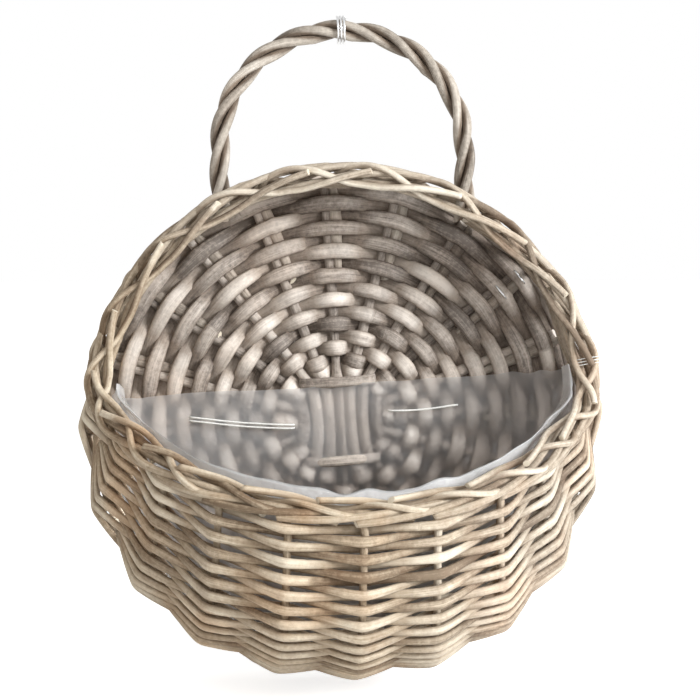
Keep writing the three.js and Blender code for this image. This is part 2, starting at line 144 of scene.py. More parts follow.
# Border
BORDER_HALF_WIDTH = 5.8
BORDER_HALF_DEPTH = 3.5
BORDER_REACH = 4.7
BORDER_FIRST_TURN = 25
BORDER_LAST_TURN = 315
BORDER_STEPS = 16
CORE_LIFT = -0.8
CORE_SINK = 3.2
CORE_RADIUS = 2.0
# Stops of a rod's plait: spokes passed, turn around the border in degrees, lift off the core
PLAIT = [
    (0.12, -45, -0.8),
    (0.40, -100, -0.7),
    (0.80, -180, -0.5),
    (1.20, -262, 0.2),
    (1.50, -255, 1.4),
    (1.95, -212, 2.6),
    (2.50, -172, 2.0),
]
PLAIT_STEPS = 18
PLAIT_END_SPREAD = 0.15
PLAIT_LIFT_SPREAD = 0.25

# Handle
HANDLE_HALF_WIDTH = 66.5
HANDLE_FOOT_INSET = 4.6
HANDLE_LEG_LENGTH = 39
HANDLE_RISE = 64
HANDLE_CROWN_DEPTH = 14
HANDLE_STRANDS = 3
HANDLE_STRAND_RADIUS = 2.7
HANDLE_TWIST = 67
HANDLE_STEPS_PER_TWIST = 10
HANDLE_START_TURN = 140
HANDLE_TIGHTNESS = 0.86
HANDLE_ROD_RADIUS = 2.55
ARCH_STEP = 15
ARCH_FINENESS = 0.5

# Liner and its fastenings
LINER_KEEL_INSET = 1
LINER_LEFT_ANGLE = 176
LINER_RIGHT_ANGLE = 11
LINER_END_HEIGHT = 4
LINER_TOP_GAP = 1
LINER_WRINKLE = 0.5
LINER_RISE = 9
LINER_FOLD = 11
LINER_FOLD_GAP = 1.6
LINER_KEEL_ROUND = 3
LINER_STRIPS = 120
LINER_BACK_STEPS = 24
LINER_FRONT_STEPS = 36
LINER_FOLD_STEPS = 6
LIP_SPREAD = 0.18
LIP_LEAN = 0.3
FOLD_START = 0.4
FOLD_WIDENING = 0.6
FOLD_CREASING = 0.4
# Random creases of a strip: the columns of each kind
STRIPS_PER_CREASE = 4
CREASES = 36
EDGE_CREASE = 0
BACK_CREASES = range(1, 13)
BACK_CROSS_CREASES = range(13, 20)
FRONT_CREASES = range(20, 32)
LEAN_CREASE = 33
LIP_CREASE = 34
FOLD_CREASE = 35
# Where the back of the liner turns from hazy to clear, from left to right and downward
LINER_CLEAR_FROM = -60
LINER_CLEAR_TO = 30
LINER_CLEAR_TOP = -12
LINER_CLEAR_FOOT = -48
# Stitches: node, start, end, and the heights of the ends of each run
STITCHES = [
    ("liner_stitch_left", -84, -26, [(3, -1.5), (1, -3.5)]),
    ("liner_stitch_right", 26, 65, [(6, 9)]),
]
STITCH_RADIUS = 0.5
STITCH_END = 1.5
STITCH_BOW = 0.4
STITCH_SAG = 0.8
STITCH_GAPS = 2.5
STAPLE_SPOKE = 2
STAPLE_ROUNDS = (6, 7)
STAPLE_HALF_LENGTH = 4.5
STAPLE_RADIUS = 0.45
STAPLE_LEG = 3
STAPLE_NECK = 0.1
STAPLE_BEND = 0.06
TIE_STEPS = 18
TIE_TURNS = 3
TIE_WIRE_RADIUS = 0.6
HANDLE_TIE_PITCH = 1.7
CORNER_TIE_PITCH = 1.6
CORNER_TIE_TIGHTNESS = 0.8
CORNER_TIE_RADIUS = 0.2
GAP = 0.35
WEAVER_SIDES = 5

# Derived sizes
SPOKE_STEP = 360 / SPOKES
PAIR_OFFSET = STICK_RADIUS + STAKE_RADIUS + GAP
STICK_END = EDGE_RADIUS - STICK_END_INSET
BACK_ROW_LAST = EDGE_RADIUS - BACK_EDGE_INSET
RIM_RADIUS = EDGE_RADIUS - RIM_INSET
LINER_KEEL_RADIUS = BACK_ROW_LAST - LINER_KEEL_INSET
BACK_ROW_PITCH = (BACK_ROW_LAST - BACK_ROW_START) / (BACK_ROWS - 1)
BACK_LIFT = STICK_RADIUS + GAP + BACK_THICKNESS / 2
WALL_LIFT = STAKE_RADIUS + GAP + WALL_ROD_RADIUS
WALL_HALF = WALL_LIFT + WALL_ROD_RADIUS
LINER_CLEARANCE = BORDER_HALF_WIDTH + STAKE_RADIUS + 2 * STITCH_RADIUS + 2 * GAP - WALL_HALF
SIDE_ROW_START = WALL_ROW_START + WALL_ROUNDS * WALL_ROW_PITCH
SIDE_ROW_END = SIDE_ROW_START + (SIDE_ROUNDS - 1) * WALL_ROW_PITCH
BORDER_CLEARANCE = BORDER_HALF_DEPTH + STAKE_RADIUS + WALL_ROD_RADIUS + 4 * GAP
LINER_BACK_DEPTH = BACK_LIFT + BACK_THICKNESS / 2 + LINER_CLEARANCE
STRAND_SPACING = 2 * HANDLE_STRAND_RADIUS + 2 * GAP
HANDLE_BUNDLE = STRAND_SPACING / math.sqrt(3) / math.cos(math.pi / HANDLE_STEPS_PER_TWIST)
HANDLE_OUTER = HANDLE_BUNDLE + HANDLE_STRAND_RADIUS
WALL_ROD_FLAT = WALL_ROD_RADIUS * math.cos(math.pi / WEAVER_SIDES)
HANDLE_FOOT_DEPTH = EDGE_BEND + SIDE_ROW_START - WALL_ROW_PITCH + WALL_ROD_FLAT + HANDLE_OUTER
HANDLE_FOOT = math.sqrt((EDGE_RADIUS - HANDLE_FOOT_INSET) ** 2 - HANDLE_HALF_WIDTH**2)
HANDLE_LEG_TOP = HANDLE_FOOT + HANDLE_LEG_LENGTH
HANDLE_CROWN = HANDLE_LEG_TOP + HANDLE_RISE
HANG_POINT = np.array([0, -HANDLE_CROWN_DEPTH, HANDLE_CROWN - HANDLE_OUTER])
BOTTOM_STAKE = 3 * SPOKES // 4

# Rod meshes
# A station is a row of numbers: its centre, then from these columns its half-axes, lift and the side that is
# painted bright
STATION_PARTS = [3, 6, 9, 10]
ROD_STEP = 2.0
LEAST_SPAN = 1e-6
SPAN_WEIGHT = 0.4
ROD_SIDES = 10
WIRE_SIDES = 8
LIFT_SHAPE = 1.5
CUT_SLANT = (0.2, 0.8)
CUT_MARK = -1.0
SPLICE_LENGTHS = (160, 420)
KNOT_START = (20, 70)
KNOT_SPACING = 75
KNOT_SWELL = (0.06, 0.16)
KNOT_LENGTH = 1.8
# Period and amount of the slow changes along a rod
SIZE_CHANGE = (22.0, 0.05)
SHADE_CHANGE = (40.0, 0.5)
LEAST_CHANGES = 4
CHANGE_MARGIN = 0.001
WOBBLE_PERIOD = 30.0
WOBBLE_SIDE_SHARE = 0.6
# How far rods stray from their lines
ROD_WOBBLE = 0.25
STICK_WOBBLE = 0.2
BACK_WOBBLE = 0.4
STAKE_WOBBLE = 0.35
CORE_WOBBLE = 0.4
HANDLE_WOBBLE = 0.15
WIRE_WOBBLE = 0.05
# Painted light of a rod: 0 paints the shade of a recess, 1 a fully lit crest, and below 0 deeper painted
# shade in grooves
LIT_LIFT_SHARE = 0.65
LIT_FACE_SHARE = 0.65
GROOVE_SHADE = -0.4
STICK_PAINTED_LIGHT = 0.45
BINDING_PAINTED_LIGHT = 0.85
FILLER_PAINTED_LIGHT = 0.2
EDGE_ROD_PAINTED_LIGHT = 0.5
STAKE_PAINTED_LIGHTS = (0.16, 0.46, 0.55)
CORE_PAINTED_LIGHT = 0.35
HANDLE_PAINTED_LIGHT = 0.9
WIRE_PAINTED_LIGHT = 1.0
# Seeds of the random draws
SEEDS = dict(
    stick=100, binding=123, back=130, stake=200, wall=300, side=310, top=311, pocket=320, handle=400,
    liner=500, stitch=510, staple=520, corner_tie=530, handle_tie=531,
)

# Willow: colours, shares of warm patches, of painted shade in recesses and of lost colour
WILLOWS = {
    "willow_back": dict(
        dark=(0.19, 0.16, 0.138), middle=(0.51, 0.446, 0.392), pale=(0.77, 0.70, 0.63),
        stain=(0.10, 0.085, 0.075), warmth=0.25, depth=0.62, greyness=0.1,
    ),
    "willow_front": dict(
        dark=(0.24, 0.175, 0.115), middle=(0.55, 0.45, 0.33), pale=(0.80, 0.71, 0.57),
        stain=(0.23, 0.14, 0.085), warmth=0.8, depth=0.54, greyness=0.4,
    ),
    "willow_handle": dict(
        dark=(0.19, 0.155, 0.12), middle=(0.46, 0.39, 0.31), pale=(0.70, 0.62, 0.52),
        stain=(0.14, 0.10, 0.07), warmth=0.3, depth=1.0, greyness=0.55,
    ),
}
# Noises are a scale, a detail and a roughness
STREAK_SCALE = 30.0
STREAK_RING = 3.0
ROD_SHIFT = 50.0
STREAK_NOISE = (2.2, 5.0, 0.65)
STREAK_WEIGHT = 0.5
PATCH_NOISE = (0.5, 3.0, 0.55)
PATCH_WEIGHT = 0.5
MOTTLE_NOISE = (420.0, 5.0, 0.7)
MOTTLE_WEIGHT = 0.5
ROD_TONE_WEIGHT = 0.30
SHADE_WEIGHT = 0.25
WILLOW_LEVELS = (0.25, 0.48, 0.72)
SPOT_NOISE = (48.0, 6.0, 0.65)
SPOT_LEVELS = (0.50, 0.66)
SPOT_SHARE = 0.6
STAIN_SHARE = 0.5
WARM_NOISE = (16.0, 3.0, 0.55)
WARM_LEVELS = (0.50, 0.72)
WARM_TINT = (1.0, 0.78, 0.60)
PAINTED_SHADE_TINT = (0.36, 0.28, 0.21)
WILLOW_ROUGHNESS = 0.72
WILLOW_SPECULAR = 0.3
WILLOW_BUMP = 0.0006
BUMP_STRENGTH = 0.5

# In metres of the shared frame: the back, the painted shadow that the pocket casts on its foot and the right
# wall on its right side, and its weathered, bleached top and side
BACK_DEPTHS = (0.006, 0.011)
SHADOW_HEIGHTS = (-0.215, -0.262)
SHADOW_SIDES = (0.03, 0.12)
SIDE_SHADOW_SHARE = 0.45
PAINTED_SHADOW_TINT = (0.44, 0.38, 0.34)
GREY_HEIGHTS = (-0.16, -0.07)
GREY_SIDES = (0.0, 0.10)
GREY_SHARE = 0.5

# Film, thread and steel
HAZE_NOISE = (38.0, 4.0, 0.6)
HAZE_STOPS = [(0.35, (0.10, 0.10, 0.10)), (0.7, (0.26, 0.26, 0.26))]
CLEAR_SHARE = 0.75
FOLD_HAZE = 0.36
LEFT_HAZE = 0.18
FILM_BLUR = 0.6
FILM_MILK = 0.7
FILM_IOR = 1.35
FILM_COLOR = (0.66, 0.66, 0.67)
FOLD_COLOR = (0.95, 0.95, 0.96)
FILM_ROUGHNESS = 0.6
FOLD_SMOOTHNESS = 0.35
CRINKLE_NOISE = (90.0, 3.0, 0.55)
CRINKLE_BUMP = 0.002
GRAIN_NOISE = (900.0, 3.0, 0.55)
GRAIN_LEVELS = (0.3, 0.7)
GRAIN_SHADE = 0.8
THREAD_LOOK = ((0.85, 0.85, 0.82), 0.5)
STEEL_LOOK = ((0.8, 0.8, 0.8), 0.3, 1.0)

# The photo's view, in pixels, millimetres and degrees
PHOTO_SIZE = 700
PHOTO_SCALE = 0.559
DISC_PIXEL = (340, 420)
CAMERA_DISTANCE = 1150
CAMERA_AZIMUTH = -3.5
CAMERA_ELEVATION = 4
SENSOR_WIDTH = 36

# Studio, in metres
FLOOR_HALF = 6.0
FLOOR_GAP = 0.002
FLOOR_COLOR = (0.9, 0.9, 0.9, 1)
FLOOR_ROUGHNESS = 0.9
FLOOR_GLOW = 0.75
WHITE = (1, 1, 1, 1)
LAMP_TARGET = (0, 0, -0.17)
# Lamps: name, place, size, power and colour
LAMPS = [
    ("key", (1.5, -1.25, 0.55), 0.8, 56, (0.96, 0.985, 1.0)),
    ("fill", (-0.3, -1.7, 0.6), 1.2, 7, (1.0, 0.98, 0.95)),
]
WORLD_COLOR = (1.0, 0.96, 0.90, 1)
WORLD_STRENGTH = 0.38

FORWARD = np.array([0.0, -1.0, 0.0])
UPWARD = np.array([0.0, 0.0, 1.0])
RIGHTWARD = np.array([1.0, 0.0, 0.0])
WIRE_GUIDE = FORWARD + 0.3 * RIGHTWARD + 0.2 * UPWARD


def unit(vector):
    return vector / np.linalg.norm(vector)


def unit_rows(rows):
    return rows / np.linalg.norm(rows, axis=1)[:, None]


def lengths_along(points):
    """The length of a line from its start to each of its points."""
    return np.concatenate([[0], np.cumsum(np.linalg.norm(np.diff(points, axis=0), axis=1))])


def disc_point(radius, angle, depth=0.0):
    """A point of the disc plane at a radius and an angle, at a depth in front of it."""
    turn = math.radians(angle)
    return np.array([radius * math.cos(turn), -depth, radius * math.sin(turn)])


def lerp(a, b, share):
    return a + (b - a) * share


def ease(share):
    return share * share * (3 - 2 * share)


def smoothstep(value, low, high):
    return ease(min(max((value - low) / (high - low), 0), 1))


# Shape of the wall


def pocket_share(angle):
    """0 along the top of the rim, 1 at the front of the pocket."""
    down = -math.sin(math.radians(angle))
    return (down + math.hypot(down, RIM_SOFTNESS)) / 2


def rim_point(angle):
    share = pocket_share(angle)
    point = disc_point(RIM_RADIUS, angle, RIM_DEPTH + POCKET_REACH * share)
    point[2] += POCKET_RISE * share**RIM_RISE_SHAPE
    point[0] -= MOUTH_INSET * smoothstep(share, 0, MOUTH_INSET_SHARE) * math.cos(math.radians(angle))
    return point


class WallCurve:
    """The line that a stake follows from the disc edge to the rim, read by its length."""

    def __init__(self, angle):
        share = pocket_share(angle)
        base = disc_point(EDGE_RADIUS, angle, EDGE_BEND)
        rim = rim_point(angle)
        reach = np.linalg.norm(rim - base)
        flare = TOP_FLARE + POCKET_FLARE * share + SIDE_FLARE * math.cos(math.radians(angle)) ** 2
        leave = disc_point(math.sin(math.radians(flare)), angle, math.cos(math.radians(flare)))
        arrive = unit(disc_point(RIM_FLARE * (1 - share), angle, 1 - share) + UPWARD * share)
        first = base + leave * reach * (WALL_START_PULL + POCKET_START_PULL * share)
        last = rim - arrive * reach * WALL_END_PULL
        t = np.linspace(0, 1, WALL_CURVE_POINTS)[:, None]
        self.points = (
            base * (1 - t) ** 3 + 3 * first * t * (1 - t) ** 2 + 3 * last * t**2 * (1 - t) + rim * t**3
        )
        self.lengths = lengths_along(self.points)
        self.length = self.lengths[-1]

    def at(self, share):
        place = share * self.length
        return np.array([np.interp(place, self.lengths, self.points[:, k]) for k in range(3)])

    def rise(self, share):
        low = max(share - WALL_SLOPE_SHARE, 0)
        high = min(share + WALL_SLOPE_SHARE, 1)
        return unit(self.at(high) - self.at(low))


@functools.lru_cache(maxsize=None)
def wall_curve(angle):
    return WallCurve(angle)


def wall_frame(angle, height):
    """Point, rise along the stake, run around the wall and outward normal at a height."""
    curve = wall_curve(angle)
    share = min(max(height / curve.length, 0), 1)
    rise = curve.rise(share)
    run = unit(wall_curve(angle + 1).at(share) - wall_curve(angle - 1).at(share))
    out = unit(np.cross(run, rise))
    return curve.at(share), rise, run, out


def rim_frame(angle):
    curve = wall_curve(angle)
    run = unit(rim_point(angle + 1) - rim_point(angle - 1))
    rise = curve.rise(1)
    rise = unit(rise - run * rise.dot(run))
    return rim_point(angle), rise, run, np.cross(run, rise)


def spoke_angle(spoke):
    return spoke * SPOKE_STEP + SLATH_TURN


def stake_angle(stake):
    return spoke_angle(stake) - math.degrees(math.atan2(PAIR_OFFSET, EDGE_RADIUS))


# Rods: a list of stations, skinned with a fine closed mesh


def round_stations(points, radius, guides, lifts=None):
    """Round stations along points, with one half-axis kept near a guide direction."""
    stations = []
    radii = radius if isinstance(radius, list) else [radius] * len(points)
    for i, centre in enumerate(points):
        along = unit(points[min(i + 1, len(points) - 1)] - points[max(i - 1, 0)])
        guide = guides[i] if isinstance(guides, list) else guides
        u = unit(guide - along * guide.dot(along))
        v = np.cross(along, u)
        lift = lifts[i] if lifts else 0.0
        stations.append((centre, u * radii[i], v * radii[i], [lift]))
    return stations


def smooth_stations(stations, step=ROD_STEP):
    """Passes a smooth curve through the stations, with a ring about every step."""
    values = np.array([np.concatenate(s) for s in stations])
    spans = np.maximum(np.linalg.norm(np.diff(values[:, :3], axis=0), axis=1), LEAST_SPAN)
    slopes = np.diff(values, axis=0) / spans[:, None]
    tangents = np.empty_like(values)
    tangents[0] = slopes[0]
    tangents[-1] = slopes[-1]
    before = spans[:-1, None] ** SPAN_WEIGHT
    after = spans[1:, None] ** SPAN_WEIGHT
    tangents[1:-1] = (slopes[:-1] * before + slopes[1:] * after) / (before + after)
    rings = []
    for i, span in enumerate(spans):
        count = max(int(math.ceil(span / step)), 1)
        for t in np.arange(count) / count:
            between = lerp(values[i], values[i + 1], ease(t))
            bend = span * t * (1 - t) * ((1 - t) * tangents[i] - t * tangents[i + 1])
            rings.append(between + bend)
    rings.append(values[-1])
    return np.array(rings)


def new_mesh(name, points, faces, layer_name, colors):
    """A mesh of points in millimetres, set in the shared frame, with a colour at each point."""
    mesh = bpy.data.meshes.new(name)
    mesh.from_pydata(((points - HANG_POINT) * MM).tolist(), [], faces)
    layer = mesh.color_attributes.new(layer_name, "FLOAT_COLOR", "POINT")
    layer.data.foreach_set("color", colors.astype(np.float32).ravel())
    return mesh


def make_piece(mesh, nodes, slot_name):
    """A piece of the scene that stands for its nodes and rides on the root."""
    mesh.materials.append(materials[slot_name])
    mesh.update()
    piece = bpy.data.objects.new(mesh.name, mesh)
    bpy.context.scene.collection.objects.link(piece)
    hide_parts(*nodes)
    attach(piece, "root")
    return piece


class RodMesh:
    """Collects rods into one mesh with rod coordinates, a tone for each rod and painted light and shade."""

    def __init__(self, name, seed):
        self.name = name
        self.random = np.random.default_rng(seed)
        self.points = []
        self.faces = []
        self.corners = []
        self.tones = []

    def add(self, stations, wobble=ROD_WOBBLE, sides=ROD_SIDES, wide=1.0, painted_light=None, spread=0.0, shaded_side=0.0):
        """Skins one rod.

        It is wider by the factor wide where its lift is 1 or -1, and thinner by up to the share spread.
        Its painted light and shade is a given level, or follows its lift so that it is painted lit in front
        and shaded behind, and away from its painted bright side it falls to a given painted shade.
        """
        rings = smooth_stations(stations)
        centres, u, v, lift, outward = np.split(rings, STATION_PARTS, axis=1)
        lift = np.clip(lift[:, 0], -1, 1)
        along = lengths_along(centres)
        u *= (1 + (wide - 1) * np.abs(lift) ** LIFT_SHAPE)[:, None]
        size = (1 - spread * self.random.random()) * (1 + self.slow_noise(along, *SIZE_CHANGE))
        for knot in np.arange(self.random.uniform(*KNOT_START), along[-1]):
            if self.random.random() < 1 / KNOT_SPACING:
                size += self.random.uniform(*KNOT_SWELL) * np.exp(-(((along - knot) / KNOT_LENGTH) ** 2))
        centres += unit_rows(u) * self.slow_noise(along, WOBBLE_PERIOD, wobble)[:, None]
        centres += unit_rows(v) * self.slow_noise(along, WOBBLE_PERIOD, wobble * WOBBLE_SIDE_SHARE)[:, None]
        turns = 2 * np.pi * np.arange(sides) / sides
        ring = (
            centres[:, None, :]
            + (u * size[:, None])[:, None, :] * np.cos(turns)[None, :, None]
            + (v * size[:, None])[:, None, :] * np.sin(turns)[None, :, None]
        )
        self.cut_end(ring[0], centres[0] - centres[1])
        self.cut_end(ring[-1], centres[-1] - centres[-2])
        shade = 0.5 + self.slow_noise(along, *SHADE_CHANGE)
        # Painted light and shade for each point of the skin: lit where the rod passes in front or faces out,
        # shaded behind and at its edges
        level = np.clip(lift / LIT_LIFT_SHARE, -1, 1) if painted_light is None else np.full(len(along), painted_light)
        top = np.repeat(np.abs(level), sides)
        if outward.shape[1] > 0:
            bright_side = unit_rows(outward) * np.sign(level)[:, None]
            top *= painted_face_light(ring - centres[:, None, :], bright_side, shaded_side)
        rod_tones = np.repeat(np.stack([self.splices(along), shade], axis=1), sides, axis=0)
        self.add_faces(along, sides)
        self.points.append(ring.reshape(-1, 3))
        self.tones.append(np.column_stack([rod_tones, top, np.ones(len(top))]))

    def add_faces(self, along, sides):
        """Faces of the next rod, with its length in metres and its turn as coordinates."""
        first = sum(len(p) for p in self.points)
        last = first + (len(along) - 1) * sides
        k, i = np.meshgrid(np.arange(len(along) - 1), np.arange(sides), indexing="ij")
        j = (i + 1) % sides
        quads = np.stack([k * sides + i, k * sides + j, (k + 1) * sides + j, (k + 1) * sides + i], axis=-1)
        self.faces.extend((quads.reshape(-1, 4) + first).tolist())
        low = along[k] * MM
        high = along[k + 1] * MM
        left = i / sides
        right = (i + 1) / sides
        corners = np.stack([low, left, low, right, high, right, high, left], axis=-1)
        self.corners.append(corners.reshape(-1, 2))
        for base, order in ((first, range(sides - 1, -1, -1)), (last, range(sides))):
            self.faces.append([base + side for side in order])
            self.corners.append(np.array([[CUT_MARK, 2 * np.pi * side / sides] for side in order]))

    def slow_noise(self, along, period, amount):
        """Smooth random values along a rod."""
        count = max(int(along[-1] / period) + 2, LEAST_CHANGES)
        values = self.random.uniform(-1, 1, count)
        place = along / along[-1] * (count - 1 - CHANGE_MARGIN)
        index = place.astype(int)
        share = ease(place - index)
        return amount * (values[index] * (1 - share) + values[np.minimum(index + 1, count - 1)] * share)

    def splices(self, along):
        """A tone for each length of willow, of which a long weaver takes several."""
        tones = np.empty(len(along))
        start = 0.0
        while start < along[-1]:
            end = start + self.random.uniform(*SPLICE_LENGTHS)
            tones[(along >= start) & (along <= end)] = self.random.random()
            start = end
        return tones

    def cut_end(self, ring, outward):
        """Slants the end of a rod, as cutters leave it."""
        middle = ring.mean(axis=0)
        side = unit(ring[self.random.integers(len(ring))] - middle)
        slant = ((ring - middle) @ side) * self.random.uniform(*CUT_SLANT)
        ring += unit(outward)[None, :] * slant[:, None]

    def build(self, node, slot_name):
        points = np.concatenate(self.points)
        mesh = new_mesh(self.name, points, self.faces, "tone", np.concatenate(self.tones))
        uv = mesh.uv_layers.new(name="rod")
        uv.data.foreach_set("uv", np.concatenate(self.corners).astype(np.float32).ravel())
        mesh.polygons.foreach_set("use_smooth", np.array([len(f) == 4 for f in self.faces]))
        make_piece(mesh, [node], slot_name)


def painted_face_light(skin, outward, shaded_side):
    """Painted light over a rod's skin: 1 where it faces outward, falling past the rod's edges to a given
    painted shade.
    """
    skin = skin / np.linalg.norm(skin, axis=2)[:, :, None]
    turned_out = np.einsum("nsk,nk->ns", skin, outward)
    return np.clip(turned_out / LIT_FACE_SHARE, shaded_side, 1).ravel()


def facing(stations, outward):
    """Stations of a rod with the direction of its side that is painted bright."""
    return [(*station, direction) for station, direction in zip(stations, outward)]


# Back disc


def turned(x, depth, z):
    """A point of the slath, turned with it."""
    turn = math.radians(SLATH_TURN)
    right = x * math.cos(turn) - z * math.sin(turn)
    up = x * math.sin(turn) + z * math.cos(turn)
    return np.array([right, -depth, up])


def stick_half(offset, spoke, depth):
    """A stick from the slath out to a spoke's end. Uprights lie in front, at a depth above 0."""
    straight = math.sqrt(SLATH_RADIUS**2 - offset**2)
    if depth > 0:
        start = turned(offset, depth, straight if 0 < spoke < SPOKES / 2 else -straight)
    else:
        right = math.cos(math.radians(spoke_angle(spoke))) > 0
        start = turned(straight if right else -straight, depth, offset)
    return [start, disc_point(SPOKE_START, spoke_angle(spoke)), disc_point(STICK_END, spoke_angle(spoke))]


def make_sticks():
    quarter = SPOKES // 4
    sticks = []
    for i in range(UPRIGHTS):
        place = i - (UPRIGHTS - 1) / 2
        ends = (quarter - place, 3 * quarter + place)
        sticks.append((f"upright_stick_{i + 1}", place, *ends, SLATH_DEPTH, RIGHTWARD))
    for i in range(CROSSES):
        place = i - (CROSSES - 1) / 2
        sticks.append((f"cross_stick_{i + 1}", place, 2 * quarter - place, place, -SLATH_DEPTH, UPWARD))
    lifts = [0, 0, 1, 1, 0, 0]
    for seed, (node, place, first, last, depth, guide) in enumerate(sticks):
        offset = place * SLATH_PITCH
        points = stick_half(offset, first, depth)[::-1] + stick_half(offset, last, depth)
        rod = RodMesh(f"willow_{node}", SEEDS["stick"] + seed)
        stations = round_stations(points, STICK_RADIUS * STICK_FATNESS, guide, lifts)
        rod.add(stations, wobble=STICK_WOBBLE, wide=SLATH_SWELL, painted_light=STICK_PAINTED_LIGHT)
        rod.build(node, "willow_back")


def make_slath_binding():
    """Flat rods across the uprights in front and behind, and a first ring of weaving."""
    rod = RodMesh("willow_slath_binding", SEEDS["binding"])
    depth = SLATH_DEPTH + STICK_RADIUS + BINDING_RADIUS
    half = UPRIGHTS * SLATH_PITCH / 2
    short = (UPRIGHTS - BINDING_SHORTENING) * SLATH_PITCH / 2
    end = short + BINDING_END
    across = [(-end, -depth), (-short, depth), (short, depth), (end, -depth)]
    for side in (-1, 1):
        points = [turned(x, y, side * BINDING_REACH) for x, y in across]
        rod.add(flat_stations(points, UPWARD, BINDING_HALF_WIDTH), painted_light=BINDING_PAINTED_LIGHT)
        points = [turned(x * half, -SLATH_DEPTH, side * FILLER_PLACE) for x in (-1, 0, 1)]
        rod.add(flat_stations(points, UPWARD, FILLER_HALF), painted_light=FILLER_PAINTED_LIGHT)
    ring = []
    for spoke in range(SPOKES + 1):
        side = 1 if spoke % 2 == 0 else -1
        for place in (-FIRST_RING_FLAT, FIRST_RING_FLAT):
            angle = spoke_angle(spoke) + math.degrees(place / FIRST_RING_RADIUS)
            centre = disc_point(FIRST_RING_RADIUS, angle, side * FIRST_RING_LIFT)
            u = disc_point(FIRST_RING_HALF, angle)
            ring.append((centre, u, FORWARD * BINDING_RADIUS, [side], FORWARD))
    rod.add(ring)
    rod.build("slath_binding", "willow_back")


def flat_stations(points, guide, half_width):
    """Stations of a flat rod that is wide along a guide direction."""
    stations = []
    for centre, u, v, lift in round_stations(points, BINDING_RADIUS, guide):
        stations.append((centre, u * half_width / BINDING_RADIUS, v, lift))
    return stations


def back_row_radius(row):
    return BACK_ROW_START + row * BACK_ROW_PITCH


def back_crossing(radius):
    """Where a back rod lies flat over a spoke: over the stick alone, or with its stake."""
    paired = radius + BACK_ROW_PITCH / 2 > STAKE_INSERTION
    middle = PAIR_OFFSET / 2 if paired else 0
    half = PAIR_OFFSET / 2 + STICK_RADIUS + GAP if paired else STICK_RADIUS
    return middle, half


def back_round_row(first_row, step, rounds):
    """The row of a back rod at a step, which climbs two rows over the last spokes of each round."""
    turn = min(step // SPOKES, rounds - 1)
    climb = smoothstep(step - turn * SPOKES, SPOKES - BACK_CLIMB, SPOKES) if turn < rounds - 1 else 0
    return first_row + 2 * (turn + climb)


def make_back_weaver(node, first_row):
    """A flat rod that winds outward over every second row. The first one has a rod along the disc's edge."""
    rounds = math.ceil((BACK_ROWS - first_row) / 2)
    stations = []
    for step in range(-BACK_EARLY_SPOKES - first_row, rounds * SPOKES + 1):
        spoke = BACK_START_SPOKE + step
        radius = back_row_radius(back_round_row(first_row, step, rounds))
        middle, half = back_crossing(radius)
        side = 1 if (spoke + first_row) % 2 == 0 else -1
        for place in (-half, half):
            angle = spoke_angle(spoke) + math.degrees((place - middle) / radius)
            centre = disc_point(radius, angle, side * BACK_LIFT)
            u = disc_point(BACK_PASS_HALF, angle)
            stations.append((centre, u, FORWARD * BACK_THICKNESS / 2, [side], FORWARD))
    rod = RodMesh(f"willow_{node}", SEEDS["back"] + first_row)
    rod.add(stations, wobble=BACK_WOBBLE, wide=BACK_LENS_HALF / BACK_PASS_HALF)
    if first_row == 0:
        rod.add(edge_rod(), painted_light=EDGE_ROD_PAINTED_LIGHT)
    rod.build(node, "willow_back")


def edge_rod():
    """Stations of a flat rod that passes behind the bends of the stakes and comes forward between them."""
    stations = []
    behind = -(STAKE_RADIUS + GAP + EDGE_ROD_THICKNESS / 2)
    for i in range(2 * SPOKES + 1):
        angle = stake_angle(BACK_START_SPOKE + i / 2)
        depth = behind + EDGE_ROD_WAVE * (i % 2)
        u = disc_point(EDGE_ROD_HALF, angle)
        centre = disc_point(EDGE_RADIUS - EDGE_ROD_INSET, angle, depth)
        stations.append((centre, u, FORWARD * EDGE_ROD_THICKNESS / 2, [0]))
    return stations


# Stakes and border


def stake_in_disc(stake, radius, depth):
    return disc_point(radius, spoke_angle(stake), depth) + disc_point(PAIR_OFFSET, spoke_angle(stake) - 90)


def border_point(angle, turn, lift, sink):
    """A point around the border, lifted off its usual ring and sunk below the rim."""
    point, rise, _, out = rim_frame(angle)
    swing = math.radians(turn)
    depth = BORDER_HALF_DEPTH + lift
    width = BORDER_HALF_WIDTH + lift
    return point - rise * (depth * math.cos(swing) + sink) - out * width * math.sin(swing)


def border_line(angle, stops):
    """Points, guides and bright sides of a rod, from stops of spokes passed, turn, lift and sink."""
    points = []
    guides = []
    outward = []
    for passed, turn, lift, sink in stops:
        at = angle - passed * SPOKE_STEP
        points.append(border_point(at, turn, lift, sink))
        guides.append(rim_frame(at)[3])
        outward.append(unit(points[-1] - rim_point(at)))
    return points, guides, outward


def core_stops():
    """Stops of the rod that fills the inside of the border."""
    turns = np.linspace(BORDER_FIRST_TURN, BORDER_LAST_TURN, BORDER_STEPS)
    return [(turn / 360 * BORDER_REACH, turn, CORE_LIFT, CORE_SINK) for turn in turns]


def plait_stops(random):
    """Stops of a stake's tail: out, over the border, in and back on top."""
    passed, turns, lifts = np.array(PLAIT).T
    passed[-1] += random.uniform(-PLAIT_END_SPREAD, PLAIT_END_SPREAD)
    lifts = lifts + random.uniform(-PLAIT_LIFT_SPREAD, PLAIT_LIFT_SPREAD)
    places = np.linspace(passed[0], passed[-1], PLAIT_STEPS)
    return [(p, np.interp(p, passed, turns), np.interp(p, passed, lifts), 0) for p in places]


